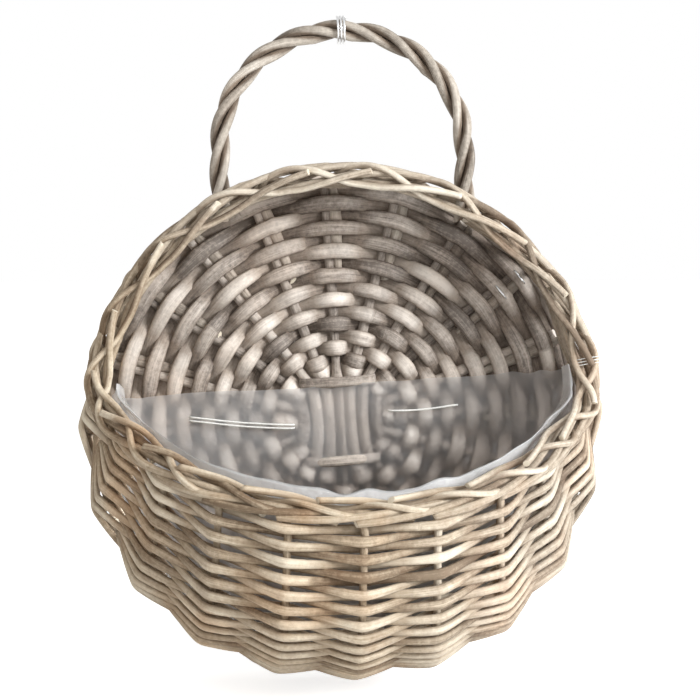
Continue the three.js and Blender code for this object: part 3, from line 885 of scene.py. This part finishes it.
def make_stake(stake):
    """A stake from the disc up the wall and into the border's plait, and its rod in the border's core."""
    angle = stake_angle(stake)
    wall_end = wall_curve(angle).length - BORDER_HALF_DEPTH - 2 * STAKE_RADIUS
    steps = math.ceil(wall_end / STAKE_STEP)
    points = [
        stake_in_disc(stake, STAKE_INSERTION, 0),
        stake_in_disc(stake, EDGE_RADIUS - EDGE_BEND, 0),
        stake_in_disc(stake, EDGE_RADIUS - EDGE_BEND / 4, EDGE_BEND / 4),
    ]
    outward = [FORWARD, FORWARD, unit(disc_point(1, angle, -1))]
    for i in range(steps + 1):
        point, _, _, out = wall_frame(angle, wall_end * i / steps)
        points.append(point)
        outward.append(out)
    # Stations in the disc, on the wall and in the border
    counts = (2, len(points) - 2, PLAIT_STEPS)
    node = f"stake_{stake + 1:02d}"
    rod = RodMesh(f"willow_{node}", SEEDS["stake"] + stake)
    plait, plait_guides, plait_outward = border_line(angle, plait_stops(rod.random))
    radii = np.repeat([STAKE_RADIUS, STAKE_WALL_RADIUS, STAKE_BORDER_RADIUS], counts).tolist()
    # Painted light of the stake in the disc, on the wall and in the border, carried as its lift
    painted_lights = np.repeat(STAKE_PAINTED_LIGHTS, counts).tolist()
    stations = round_stations(points + plait, radii, outward + plait_guides, painted_lights)
    rod.add(facing(stations, outward + plait_outward), wobble=STAKE_WOBBLE, shaded_side=GROOVE_SHADE)
    core, core_guides, _ = border_line(angle, core_stops())
    rod.add(round_stations(core, CORE_RADIUS, core_guides), wobble=CORE_WOBBLE, painted_light=CORE_PAINTED_LIGHT)
    rod.build(node, "willow_front")


# Wall and pocket weave


# A row of the wall: its number, its first and last stake, and its height and pitch at a stake
Row = namedtuple("Row", "index first last height pitch")


def level_row(index, first, last):
    height = WALL_ROW_START + index * WALL_ROW_PITCH
    return Row(index, first, last, lambda stake: height, lambda stake: WALL_ROW_PITCH)


def pocket_stake(stake):
    """Height of the top row, pitch and number of the pocket's rows at a stake."""
    top = wall_curve(stake_angle(stake)).length - BORDER_CLEARANCE
    room = top - SIDE_ROW_END - POCKET_ROW_START
    share = pocket_share(stake_angle(stake))
    fanned = math.floor(1 + POCKET_ROWS_PER_SHARE * (share - POCKET_FIRST_SHARE))
    count = min(fanned, POCKET_ROWS)
    return top, room / (count - 1) if count > 1 else WALL_ROW_PITCH, count


def pocket_row(index):
    first = last = BOTTOM_STAKE
    while pocket_stake(first - 1)[2] > index:
        first -= 1
    while pocket_stake(last + 1)[2] > index:
        last += 1
    return Row(
        index, first, last,
        lambda stake: pocket_stake(stake)[0] - index * pocket_stake(stake)[1],
        lambda stake: pocket_stake(stake)[1],
    )


def wall_crossing(row, stake):
    """Lie of a rod where it crosses a stake."""
    point, rise, _, out = wall_frame(stake_angle(stake), row.height(stake))
    before = max(stake - 1, row.first)
    after = min(stake + 1, row.last)
    ends = [wall_frame(stake_angle(s), row.height(s))[0] for s in (before, after)]
    run = ends[1] - ends[0]
    run = unit(run - out * run.dot(out))
    up = np.cross(out, run)
    room = row.pitch(stake) * abs(up.dot(rise)) * WALL_ROD_FILL / 2
    side = 1 if (row.index + stake) % 2 == 0 else -1
    return point, run, out, up * min(WALL_ROD_HALF, room), side


def row_stations(row, direction):
    """Stations of a row from stake to stake, two at each."""
    stations = []
    reach = STAKE_RADIUS + GAP
    start = row.first if direction > 0 else row.last
    for k in range(row.last - row.first + 1):
        point, run, out, up, side = wall_crossing(row, start + direction * k)
        for place in (-reach, reach):
            centre = point + out * side * WEAVE_LIFT + run * direction * place
            stations.append((centre, up, out * direction * WEAVE_HALF_THICKNESS, [side], out))
    return stations


def make_wall_weaver(node, rows, direction, seed, edge_row=None):
    """A rod that runs to and fro along its rows, and perhaps a second rod along the disc edge."""
    stations = []
    for i, row in enumerate(rows):
        stations += row_stations(row, direction)
        if i + 1 < len(rows):
            end = row.last if direction > 0 else row.first
            point, run, out, up, side = wall_crossing(row, end)
            back_point, _, _, back_up, _ = wall_crossing(rows[i + 1], end)
            centre = (point + back_point) / 2 + run * direction * (WALL_LIFT + GAP)
            stations.append((centre, (up + back_up) / 2, run * side * WEAVE_HALF_THICKNESS, [0], out))
        direction = -direction
    rod = RodMesh(f"willow_{node}", seed)
    rod.add(stations, wide=WALL_ROD_SWELL)
    if edge_row:
        rod.add(row_stations(edge_row, 1), wide=WALL_ROD_SWELL)
    rod.build(node, "willow_front")


def make_wall():
    for i in range(WALL_ROUNDS):
        first = BOTTOM_STAKE + 2 * i
        last = first + SPOKES - 1
        edge_row = Row(0, first, last + 1, lambda stake: 0, lambda stake: WALL_ROW_PITCH) if i == 0 else None
        rows = [level_row(i, first, last)]
        make_wall_weaver(f"wall_weaver_{i + 1}", rows, 1, SEEDS["wall"] + i, edge_row)
    side_left = math.ceil(FOOT_SPOKES / 2) + SPOKES // 4
    side_right = side_left + SPOKES - FOOT_SPOKES
    levels = range(WALL_ROUNDS, WALL_ROUNDS + SIDE_ROUNDS)
    side_rows = [level_row(i, side_left, side_right) for i in levels]
    top_rows = [level_row(i, side_right + 1 - SPOKES, side_left - 1) for i in levels]
    make_wall_weaver("side_weaver", side_rows, -1, SEEDS["side"])
    make_wall_weaver("top_weaver", top_rows, 1, SEEDS["top"])


def tucked_end(row, stake, direction):
    """The thinned end of a pocket row, part of the way to the next stake."""
    angle = stake_angle(stake) + direction * TUCK_SHARE * SPOKE_STEP
    height = lerp(row.height(stake), SIDE_ROW_END + WALL_ROW_PITCH / 2, TUCK_SHARE)
    point, _, _, out = wall_frame(angle, height)
    u = wall_crossing(row, stake)[3] * TUCK_SIZE
    return point - out * TUCK_DEPTH, u, out * WEAVE_HALF_THICKNESS * TUCK_SIZE, [0], out


def make_pocket():
    for weaver in range(POCKET_ROWS // ROWS_PER_WEAVER):
        node = f"pocket_weaver_{weaver + 1:02d}"
        rod = RodMesh(f"willow_{node}", SEEDS["pocket"] + weaver)
        for i in range(ROWS_PER_WEAVER):
            row = pocket_row(weaver * ROWS_PER_WEAVER + i)
            stations = [tucked_end(row, row.first, -1)]
            stations += row_stations(row, 1)
            stations.append(tucked_end(row, row.last, 1))
            rod.add(stations, wide=POCKET_ROD_SWELL, spread=POCKET_ROD_SPREAD)
        rod.build(node, "willow_front")


# Handle


def handle_arch():
    """Evenly spaced points of the handle's middle line."""
    heights = (HANDLE_FOOT, (HANDLE_FOOT + HANDLE_LEG_TOP) / 2)
    legs = [np.array([-HANDLE_HALF_WIDTH, -HANDLE_FOOT_DEPTH, z]) for z in heights]
    points = list(legs)
    for turn in range(180, -1, -ARCH_STEP):
        share = math.sin(math.radians(turn))
        y = -lerp(HANDLE_FOOT_DEPTH, HANDLE_CROWN_DEPTH, share**2)
        z = lerp(HANDLE_LEG_TOP, HANDLE_CROWN, share)
        points.append(np.array([HANDLE_HALF_WIDTH * math.cos(math.radians(turn)), y, z]))
    points += [leg * np.array([-1, 1, 1]) for leg in legs[::-1]]
    zero = np.zeros(3)
    fine = smooth_stations([(p, zero, zero, [0]) for p in points], ARCH_FINENESS)[:, :3]
    lengths = lengths_along(fine)
    steps = round(lengths[-1] / HANDLE_TWIST * HANDLE_STEPS_PER_TWIST)
    places = np.linspace(0, lengths[-1], steps + 1)
    return np.stack([np.interp(places, lengths, fine[:, k]) for k in range(3)], axis=1)


def make_handle():
    arch = handle_arch()
    for strand in range(HANDLE_STRANDS):
        points = []
        for i, middle in enumerate(arch):
            along = unit(arch[min(i + 1, len(arch) - 1)] - arch[max(i - 1, 0)])
            front = unit(FORWARD - along * FORWARD.dot(along))
            side = np.cross(along, front)
            turn = math.radians(HANDLE_START_TURN)
            turn += 2 * math.pi * (i / HANDLE_STEPS_PER_TWIST + strand / HANDLE_STRANDS)
            swing = front * math.cos(turn) + side * math.sin(turn)
            points.append(middle + HANDLE_BUNDLE * HANDLE_TIGHTNESS * swing)
        node = f"handle_strand_{strand + 1}"
        rod = RodMesh(f"willow_{node}", SEEDS["handle"] + strand)
        stations = round_stations(points, HANDLE_ROD_RADIUS, FORWARD)
        outward = [unit(point - middle) for point, middle in zip(points, arch)]
        rod.add(facing(stations, outward), wobble=HANDLE_WOBBLE, painted_light=HANDLE_PAINTED_LIGHT, shaded_side=GROOVE_SHADE)
        rod.build(node, "willow_handle")


# Film liner: a bag with a flat back in front of the disc, a front inside the pocket and a folded rim


def cycled(columns, i):
    return columns[i % len(columns)]


def liner_strip(angle, crease):
    """Points of one strip, from the back edge over the keel to the folded rim."""
    keel = disc_point(LINER_KEEL_RADIUS, angle, LINER_BACK_DEPTH)
    left = disc_point(LINER_KEEL_RADIUS, LINER_LEFT_ANGLE)
    right = disc_point(LINER_KEEL_RADIUS, LINER_RIGHT_ANGLE)
    share = (keel[0] - left[0]) / (right[0] - left[0])
    edge = lerp(left[2], right[2], share) + LINER_END_HEIGHT + crease[EDGE_CREASE]
    points = []
    for i in range(LINER_BACK_STEPS):
        z = lerp(edge, keel[2], i / LINER_BACK_STEPS)
        swell = 1 + crease[cycled(BACK_CREASES, i)] + crease[cycled(BACK_CROSS_CREASES, i)]
        points.append(np.array([keel[0], keel[1] - LINER_WRINKLE * swell, z]))
    length = wall_curve(angle).length - LINER_TOP_GAP
    offset = WALL_HALF + LINER_CLEARANCE
    for i in range(LINER_FRONT_STEPS + 1):
        height = lerp(WALL_ROW_START + LINER_KEEL_ROUND, length, i / LINER_FRONT_STEPS)
        point, _, _, out = wall_frame(angle, height)
        points.append(point - out * (offset + LINER_WRINKLE * (1 + crease[cycled(FRONT_CREASES, i)])))
    _, rise, _, out = rim_frame(angle)
    top = points[-1]
    lip = (LINER_TOP_GAP + LINER_RISE * pocket_share(angle)) * (1 + LIP_SPREAD * crease[LIP_CREASE])
    lean = LINER_FOLD_GAP * LIP_LEAN * (1 + crease[LEAN_CREASE])
    shares = np.arange(1, LINER_FOLD_STEPS + 1) / LINER_FOLD_STEPS
    points += [top + (rise * lip - out * lean) * share for share in shares]
    crown = points[-1]
    for share in shares:
        gap = LINER_FOLD_GAP * (FOLD_START + FOLD_WIDENING * share + FOLD_CREASING * crease[FOLD_CREASE])
        points.append(crown - rise * LINER_FOLD * share - out * gap)
    return points


def make_liner():
    random = np.random.default_rng(SEEDS["liner"])
    coarse = random.uniform(-1, 1, (LINER_STRIPS // STRIPS_PER_CREASE + 2, CREASES))
    strips = []
    for i in range(LINER_STRIPS + 1):
        angle = lerp(LINER_LEFT_ANGLE, LINER_RIGHT_ANGLE + 360, i / LINER_STRIPS)
        k = i // STRIPS_PER_CREASE
        share = ease(i % STRIPS_PER_CREASE / STRIPS_PER_CREASE)
        strips.append(liner_strip(angle, coarse[k] * (1 - share) + coarse[k + 1] * share))
    grid = np.array(strips)
    rows, columns = grid.shape[:2]
    r, c = np.meshgrid(np.arange(rows - 1), np.arange(columns - 1), indexing="ij")
    corner = r * columns + c
    faces = np.stack([corner, corner + columns, corner + columns + 1, corner + 1], axis=-1)
    # Red at the folded rim, green where the film is clear and blue at the hazy left. Alpha isn't used
    looks = np.zeros((rows, columns, 4))
    rim = columns - 2 * LINER_FOLD_STEPS - 2
    looks[:, rim:, 0] = 1
    looks[:, LINER_BACK_STEPS:rim, 1] = 1
    back = grid[:, :LINER_BACK_STEPS]
    across = np.clip((back[:, :, 0] - LINER_CLEAR_FROM) / (LINER_CLEAR_TO - LINER_CLEAR_FROM), 0, 1)
    down = np.clip((back[:, :, 2] - LINER_CLEAR_TOP) / (LINER_CLEAR_FOOT - LINER_CLEAR_TOP), 0, 1)
    looks[:, :LINER_BACK_STEPS, 1] = down
    looks[:, :LINER_BACK_STEPS, 2] = (1 - across) * (1 - down)
    face_list = faces.reshape(-1, 4).tolist()
    mesh = new_mesh("film_liner", grid.reshape(-1, 3), face_list, "fold", looks.reshape(-1, 4))
    mesh.polygons.foreach_set("use_smooth", np.ones(len(mesh.polygons), bool))
    liner = make_piece(mesh, ["liner"], "film")


# Threads and wires


def make_wire(node, runs, radius, slot_name, seed):
    rod = RodMesh(f"wire_{node}", seed)
    for points in runs:
        stations = round_stations(points, radius, WIRE_GUIDE)
        rod.add(stations, wobble=WIRE_WOBBLE, sides=WIRE_SIDES, painted_light=WIRE_PAINTED_LIGHT)
    rod.build(node, slot_name)


def make_stitches():
    depth = LINER_BACK_DEPTH + 2 * LINER_WRINKLE + STITCH_RADIUS + STITCH_GAPS * GAP
    for seed, (node, start, end, heights) in enumerate(STITCHES):
        runs = []
        for first, last in heights:
            runs.append([
                np.array([start, -depth + STITCH_END, first]),
                np.array([start + STITCH_END, -depth, first]),
                np.array([(start + end) / 2, -depth - STITCH_BOW, (first + last) / 2 - STITCH_SAG]),
                np.array([end - STITCH_END, -depth, last]),
                np.array([end, -depth + STITCH_END, last]),
            ])
        make_wire(node, runs, STITCH_RADIUS, "thread", SEEDS["stitch"] + seed)


def make_staples():
    depth = BACK_LIFT + BACK_THICKNESS / 2 + GAP + STAPLE_RADIUS
    leg = -FORWARD * STAPLE_LEG
    for i, turn in enumerate(STAPLE_ROUNDS):
        radius = back_row_radius(2 * turn)
        angle = spoke_angle(STAPLE_SPOKE) - math.degrees(back_crossing(radius)[0] / radius)
        middle = disc_point(radius, angle, depth)
        half = disc_point(STAPLE_HALF_LENGTH, angle + 90)
        first = middle - half
        last = middle + half
        points = [first + leg, first + leg * STAPLE_NECK, lerp(first, last, STAPLE_BEND)]
        points += [lerp(last, first, STAPLE_BEND), last + leg * STAPLE_NECK, last + leg]
        make_wire(f"staple_{i + 1}", [points], STAPLE_RADIUS, "steel", SEEDS["staple"] + i)


def coil(centre, first, second, pitch):
    """Points of a tie's turns around a centre, by two half-axes and the step from turn to turn."""
    points = []
    for i in range(TIE_TURNS * TIE_STEPS + 1):
        turns = i / TIE_STEPS
        turn = 2 * math.pi * turns
        around = first * math.cos(turn) + second * math.sin(turn)
        points.append(centre + around + pitch * (turns - TIE_TURNS / 2))
    return points


def make_corner_tie():
    point, rise, run, out = rim_frame(stake_angle(0) + SPOKE_STEP / 2)
    reach = STAKE_BORDER_RADIUS * CORNER_TIE_TIGHTNESS
    across = out * (BORDER_HALF_WIDTH + reach)
    points = coil(point, across, rise * (BORDER_HALF_DEPTH + reach), run * CORNER_TIE_PITCH)
    make_wire("corner_tie", [points], CORNER_TIE_RADIUS, "thread", SEEDS["corner_tie"])


def make_handle_tie():
    reach = HANDLE_OUTER + GAP + TIE_WIRE_RADIUS
    centre = np.array([0, -HANDLE_CROWN_DEPTH, HANDLE_CROWN])
    points = coil(centre, UPWARD * reach, FORWARD * reach, RIGHTWARD * HANDLE_TIE_PITCH)
    make_wire("handle_tie", [points], TIE_WIRE_RADIUS, "steel", SEEDS["handle_tie"])


# Materials


class Nodes:
    """Short calls for a material's node tree."""

    def __init__(self, name):
        self.material = bpy.data.materials.new(name)
        self.material.use_nodes = True
        self.tree = self.material.node_tree
        self.shader = self.tree.nodes["Principled BSDF"]

    def add(self, kind, **values):
        node = self.tree.nodes.new(kind)
        for key, value in values.items():
            setattr(node, key, value)
        return node

    def link(self, source, target):
        self.tree.links.new(source, target)

    def math(self, operation, a, b):
        node = self.add("ShaderNodeMath", operation=operation)
        for socket, value in zip(node.inputs, (a, b)):
            if isinstance(value, (int, float)):
                socket.default_value = value
            else:
                self.link(value, socket)
        return node.outputs[0]

    def place(self):
        return self.add("ShaderNodeTexCoord").outputs["Object"]

    def layer(self, name):
        return self.add("ShaderNodeVertexColor", layer_name=name).outputs["Color"]

    def parts(self, kind, value):
        """The three outputs of a node that takes a value apart."""
        node = self.add(kind)
        self.link(value, node.inputs[0])
        return node.outputs[0], node.outputs[1], node.outputs[2]

    def noise(self, vector, scale, detail, roughness):
        node = self.add("ShaderNodeTexNoise")
        node.inputs["Scale"].default_value = scale
        node.inputs["Detail"].default_value = detail
        node.inputs["Roughness"].default_value = roughness
        self.link(vector, node.inputs["Vector"])
        return node.outputs["Fac"]

    def span(self, value, low, high):
        """0 to 1 as a value goes from low to high."""
        node = self.add("ShaderNodeMapRange", interpolation_type="SMOOTHSTEP")
        node.inputs["From Min"].default_value = low
        node.inputs["From Max"].default_value = high
        self.link(value, node.inputs["Value"])
        return node.outputs[0]

    def ramp(self, value, stops):
        node = self.add("ShaderNodeValToRGB")
        elements = node.color_ramp.elements
        while len(elements) < len(stops):
            elements.new(0.5)
        for element, (place, color) in zip(elements, stops):
            element.position = place
            element.color = (*color, 1)
        self.link(value, node.inputs["Fac"])
        return node.outputs["Color"]

    def mix(self, share, a, b, blend="MIX"):
        node = self.add("ShaderNodeMix", data_type="RGBA", blend_type=blend)
        for name, value in (("Factor", share), ("A", a), ("B", b)):
            socket = next(s for s in node.inputs if s.name == name and s.enabled)
            if isinstance(value, (int, float)):
                socket.default_value = value
            elif isinstance(value, tuple):
                socket.default_value = (*value, 1)
            else:
                self.link(value, socket)
        return next(s for s in node.outputs if s.enabled)

    def tint(self, share, color, factor):
        """A colour that is multiplied by a factor as far as the share says."""
        return self.mix(share, color, self.mix(1.0, color, factor, "MULTIPLY"))

    def patches(self, vector, noise, levels):
        """Soft patches: 0 to 1 as a noise goes from the low level to the high one."""
        return self.ramp(self.noise(vector, *noise), list(zip(levels, ((0, 0, 0), (1, 1, 1)))))

    def bump(self, height, distance):
        node = self.add("ShaderNodeBump")
        node.inputs["Strength"].default_value = BUMP_STRENGTH
        node.inputs["Distance"].default_value = distance
        self.link(height, node.inputs["Height"])
        self.link(node.outputs[0], self.shader.inputs["Normal"])


def willow(name, dark, middle, pale, stain, warmth, depth, greyness):
    """Weathered willow: streaks along a rod, a tone for each rod, stains, painted shade in recesses, painted
    shadow on the back's foot and right side, pale cut ends.
    """
    n = Nodes(name)
    uv = n.add("ShaderNodeUVMap", uv_map="rod")
    along, around, _ = n.parts("ShaderNodeSeparateXYZ", uv.outputs["UV"])
    rod_tone, shade, painted_light = n.parts("ShaderNodeSeparateColor", n.layer("tone"))
    place = n.place()
    x, y, z = n.parts("ShaderNodeSeparateXYZ", place)

    turn = n.math("MULTIPLY", around, 2 * math.pi)
    height = n.math("MULTIPLY", n.math("COSINE", turn, 0.0), STREAK_RING)
    grain = n.add("ShaderNodeCombineXYZ")
    n.link(n.math("MULTIPLY", along, STREAK_SCALE), grain.inputs[0])
    n.link(n.math("MULTIPLY", n.math("SINE", turn, 0.0), STREAK_RING), grain.inputs[1])
    n.link(n.math("ADD", height, n.math("MULTIPLY", rod_tone, ROD_SHIFT)), grain.inputs[2])
    streak = n.noise(grain.outputs[0], *STREAK_NOISE)
    patch = n.noise(grain.outputs[0], *PATCH_NOISE)
    mottle = n.noise(place, *MOTTLE_NOISE)
    level = n.math("ADD", n.math("MULTIPLY", streak, STREAK_WEIGHT), n.math("MULTIPLY", patch, PATCH_WEIGHT))
    for value, weight in ((mottle, MOTTLE_WEIGHT), (rod_tone, ROD_TONE_WEIGHT), (shade, SHADE_WEIGHT)):
        level = n.math("ADD", level, n.math("MULTIPLY", n.math("SUBTRACT", value, 0.5), weight))
    color = n.ramp(level, list(zip(WILLOW_LEVELS, (dark, middle, pale))))

    spot = n.math("MULTIPLY", n.patches(place, SPOT_NOISE, SPOT_LEVELS), SPOT_SHARE)
    color = n.mix(spot, color, n.mix(STAIN_SHARE, stain, color))
    warm = n.math("MULTIPLY", n.patches(place, WARM_NOISE, WARM_LEVELS), warmth)
    color = n.tint(warm, color, WARM_TINT)
    # Painted shade where the rod's painted light is low: in recesses, behind crossings and at rod edges
    painted_shade = n.math("MULTIPLY", n.math("SUBTRACT", 1.0, painted_light), depth)
    color = n.tint(painted_shade, color, PAINTED_SHADE_TINT)

    inside = n.span(y, *BACK_DEPTHS)
    # Painted shadow on the back: the pocket's shadow over its foot, the right wall's over its right side
    side_shadow = n.math("MULTIPLY", n.span(x, *SHADOW_SIDES), SIDE_SHADOW_SHARE)
    painted_shadow = n.math("MAXIMUM", n.span(z, *SHADOW_HEIGHTS), side_shadow)
    color = n.tint(n.math("MULTIPLY", painted_shadow, inside), color, PAINTED_SHADOW_TINT)
    bleached = n.math("MAXIMUM", n.span(z, *GREY_HEIGHTS), n.span(x, *GREY_SIDES))
    grey = n.add("ShaderNodeHueSaturation")
    grey.inputs["Saturation"].default_value = 1 - greyness
    n.link(n.math("MAXIMUM", inside, n.math("MULTIPLY", bleached, GREY_SHARE)), grey.inputs["Fac"])
    n.link(color, grey.inputs["Color"])
    cut = n.math("LESS_THAN", along, CUT_MARK / 2)
    n.link(n.mix(cut, grey.outputs["Color"], pale), n.shader.inputs["Base Color"])
    n.shader.inputs["Roughness"].default_value = WILLOW_ROUGHNESS
    n.shader.inputs["Specular IOR Level"].default_value = WILLOW_SPECULAR
    n.bump(streak, WILLOW_BUMP)
    return n.material


def film(name):
    """Clear film that blurs what lies behind it, hazy in patches and milky at its fold."""
    n = Nodes(name)
    place = n.place()
    fold, clear, left = n.parts("ShaderNodeSeparateColor", n.layer("fold"))
    haze = n.ramp(n.noise(place, *HAZE_NOISE), HAZE_STOPS)
    haze = n.math("MULTIPLY", haze, n.math("SUBTRACT", 1.0, n.math("MULTIPLY", clear, CLEAR_SHARE)))
    haze = n.math("ADD", haze, n.math("MULTIPLY", fold, FOLD_HAZE))
    haze = n.math("ADD", haze, n.math("MULTIPLY", left, LEFT_HAZE))
    cover = n.math("ADD", FILM_BLUR, n.math("MULTIPLY", haze, 1 - FILM_BLUR))
    milk = n.math("DIVIDE", n.math("MULTIPLY", haze, FILM_MILK), cover)
    smooth = n.math("MULTIPLY", fold, FOLD_SMOOTHNESS)
    n.link(cover, n.shader.inputs["Alpha"])
    n.link(n.math("SUBTRACT", 1.0, milk), n.shader.inputs["Transmission Weight"])
    n.shader.inputs["IOR"].default_value = FILM_IOR
    n.link(n.mix(fold, FILM_COLOR, FOLD_COLOR), n.shader.inputs["Base Color"])
    n.link(n.math("SUBTRACT", FILM_ROUGHNESS, smooth), n.shader.inputs["Roughness"])
    n.bump(n.noise(place, *CRINKLE_NOISE), CRINKLE_BUMP)
    return n.material


def plain(name, color, roughness, metallic=0.0):
    n = Nodes(name)
    low = tuple(c * GRAIN_SHADE for c in color)
    grain = n.noise(n.place(), *GRAIN_NOISE)
    n.link(n.ramp(grain, list(zip(GRAIN_LEVELS, (low, color)))), n.shader.inputs["Base Color"])
    n.shader.inputs["Roughness"].default_value = roughness
    n.shader.inputs["Metallic"].default_value = metallic
    return n.material


# Stage


def sees_background(tree):
    """1 for rays that meet the background straight, by a mirror or through the film."""
    ray = tree.nodes.new("ShaderNodeLightPath")
    share = ray.outputs["Is Camera Ray"]
    for kind in ("Is Glossy Ray", "Is Transmission Ray"):
        larger = tree.nodes.new("ShaderNodeMath")
        larger.operation = "MAXIMUM"
        tree.links.new(share, larger.inputs[0])
        tree.links.new(ray.outputs[kind], larger.inputs[1])
        share = larger.outputs[0]
    return share


def add_object(name, data, place):
    thing = bpy.data.objects.new(name, data)
    thing.location = place
    bpy.context.scene.collection.objects.link(thing)
    return thing


def look_along(thing, direction):
    thing.rotation_euler = Vector(direction).to_track_quat("-Z", "Y").to_euler()


def make_camera():
    """The camera looks at the middle of the photo, which lies in the plane of the disc."""
    right = PHOTO_SIZE / 2 - DISC_PIXEL[0]
    up = DISC_PIXEL[1] - PHOTO_SIZE / 2
    aim = np.array([right * PHOTO_SCALE, 0, up * PHOTO_SCALE])
    a = math.radians(CAMERA_AZIMUTH)
    e = math.radians(CAMERA_ELEVATION)
    back = np.array([math.sin(a) * math.cos(e), -math.cos(a) * math.cos(e), math.sin(e)])
    camera = bpy.data.cameras.new("camera")
    camera.sensor_width = SENSOR_WIDTH
    camera.lens = SENSOR_WIDTH * CAMERA_DISTANCE / (PHOTO_SIZE * PHOTO_SCALE)
    holder = add_object("camera", camera, Vector((aim + back * CAMERA_DISTANCE - HANG_POINT) * MM))
    look_along(holder, -back)
    bpy.context.scene.camera = holder


def make_floor():
    corners = [(x * FLOOR_HALF, y * FLOOR_HALF, 0) for x, y in ((-1, -1), (1, -1), (1, 1), (-1, 1))]
    mesh = bpy.data.meshes.new("floor")
    mesh.from_pydata(corners, [], [(0, 1, 2, 3)])
    n = Nodes("floor_white")
    n.shader.inputs["Base Color"].default_value = FLOOR_COLOR
    n.shader.inputs["Roughness"].default_value = FLOOR_ROUGHNESS
    n.shader.inputs["Emission Color"].default_value = WHITE
    n.link(n.math("MULTIPLY", sees_background(n.tree), FLOOR_GLOW), n.shader.inputs["Emission Strength"])
    mesh.materials.append(n.material)
    floor = add_object("floor", mesh, (0, 0, cad_box[0][2] - FLOOR_GAP))


def make_lamps():
    for name, place, size, power, color in LAMPS:
        light = bpy.data.lights.new(name, "AREA")
        light.color = color
        light.size = size
        light.energy = power
        look_along(add_object(name, light, place), Vector(LAMP_TARGET) - Vector(place))


def make_world():
    """Soft light from all around, and white where the background is seen."""
    world = bpy.data.worlds.new("studio")
    world.use_nodes = True
    tree = world.node_tree
    tree.nodes.clear()
    output = tree.nodes.new("ShaderNodeOutputWorld")
    choose = tree.nodes.new("ShaderNodeMixShader")
    soft = tree.nodes.new("ShaderNodeBackground")
    soft.inputs["Color"].default_value = WORLD_COLOR
    soft.inputs["Strength"].default_value = WORLD_STRENGTH
    white = tree.nodes.new("ShaderNodeBackground")
    white.inputs["Color"].default_value = WHITE
    tree.links.new(sees_background(tree), choose.inputs[0])
    tree.links.new(soft.outputs[0], choose.inputs[1])
    tree.links.new(white.outputs[0], choose.inputs[2])
    tree.links.new(choose.outputs[0], output.inputs["Surface"])
    bpy.context.scene.world = world


bpy.context.scene.view_settings.view_transform = "Standard"
make_camera()
make_floor()
make_lamps()
make_world()

# The name of a slot is the name of its material
materials = {name: willow(name, **look) for name, look in WILLOWS.items()}
materials["film"] = film("film")
materials["thread"] = plain("thread", *THREAD_LOOK)
materials["steel"] = plain("steel", *STEEL_LOOK)

make_sticks()
make_slath_binding()
make_back_weaver("back_weaver_a", 0)
make_back_weaver("back_weaver_b", 1)
for stake in range(SPOKES):
    make_stake(stake)
make_wall()
make_pocket()
make_handle()
make_liner()
make_stitches()
make_corner_tie()
make_staples()
make_handle_tie()
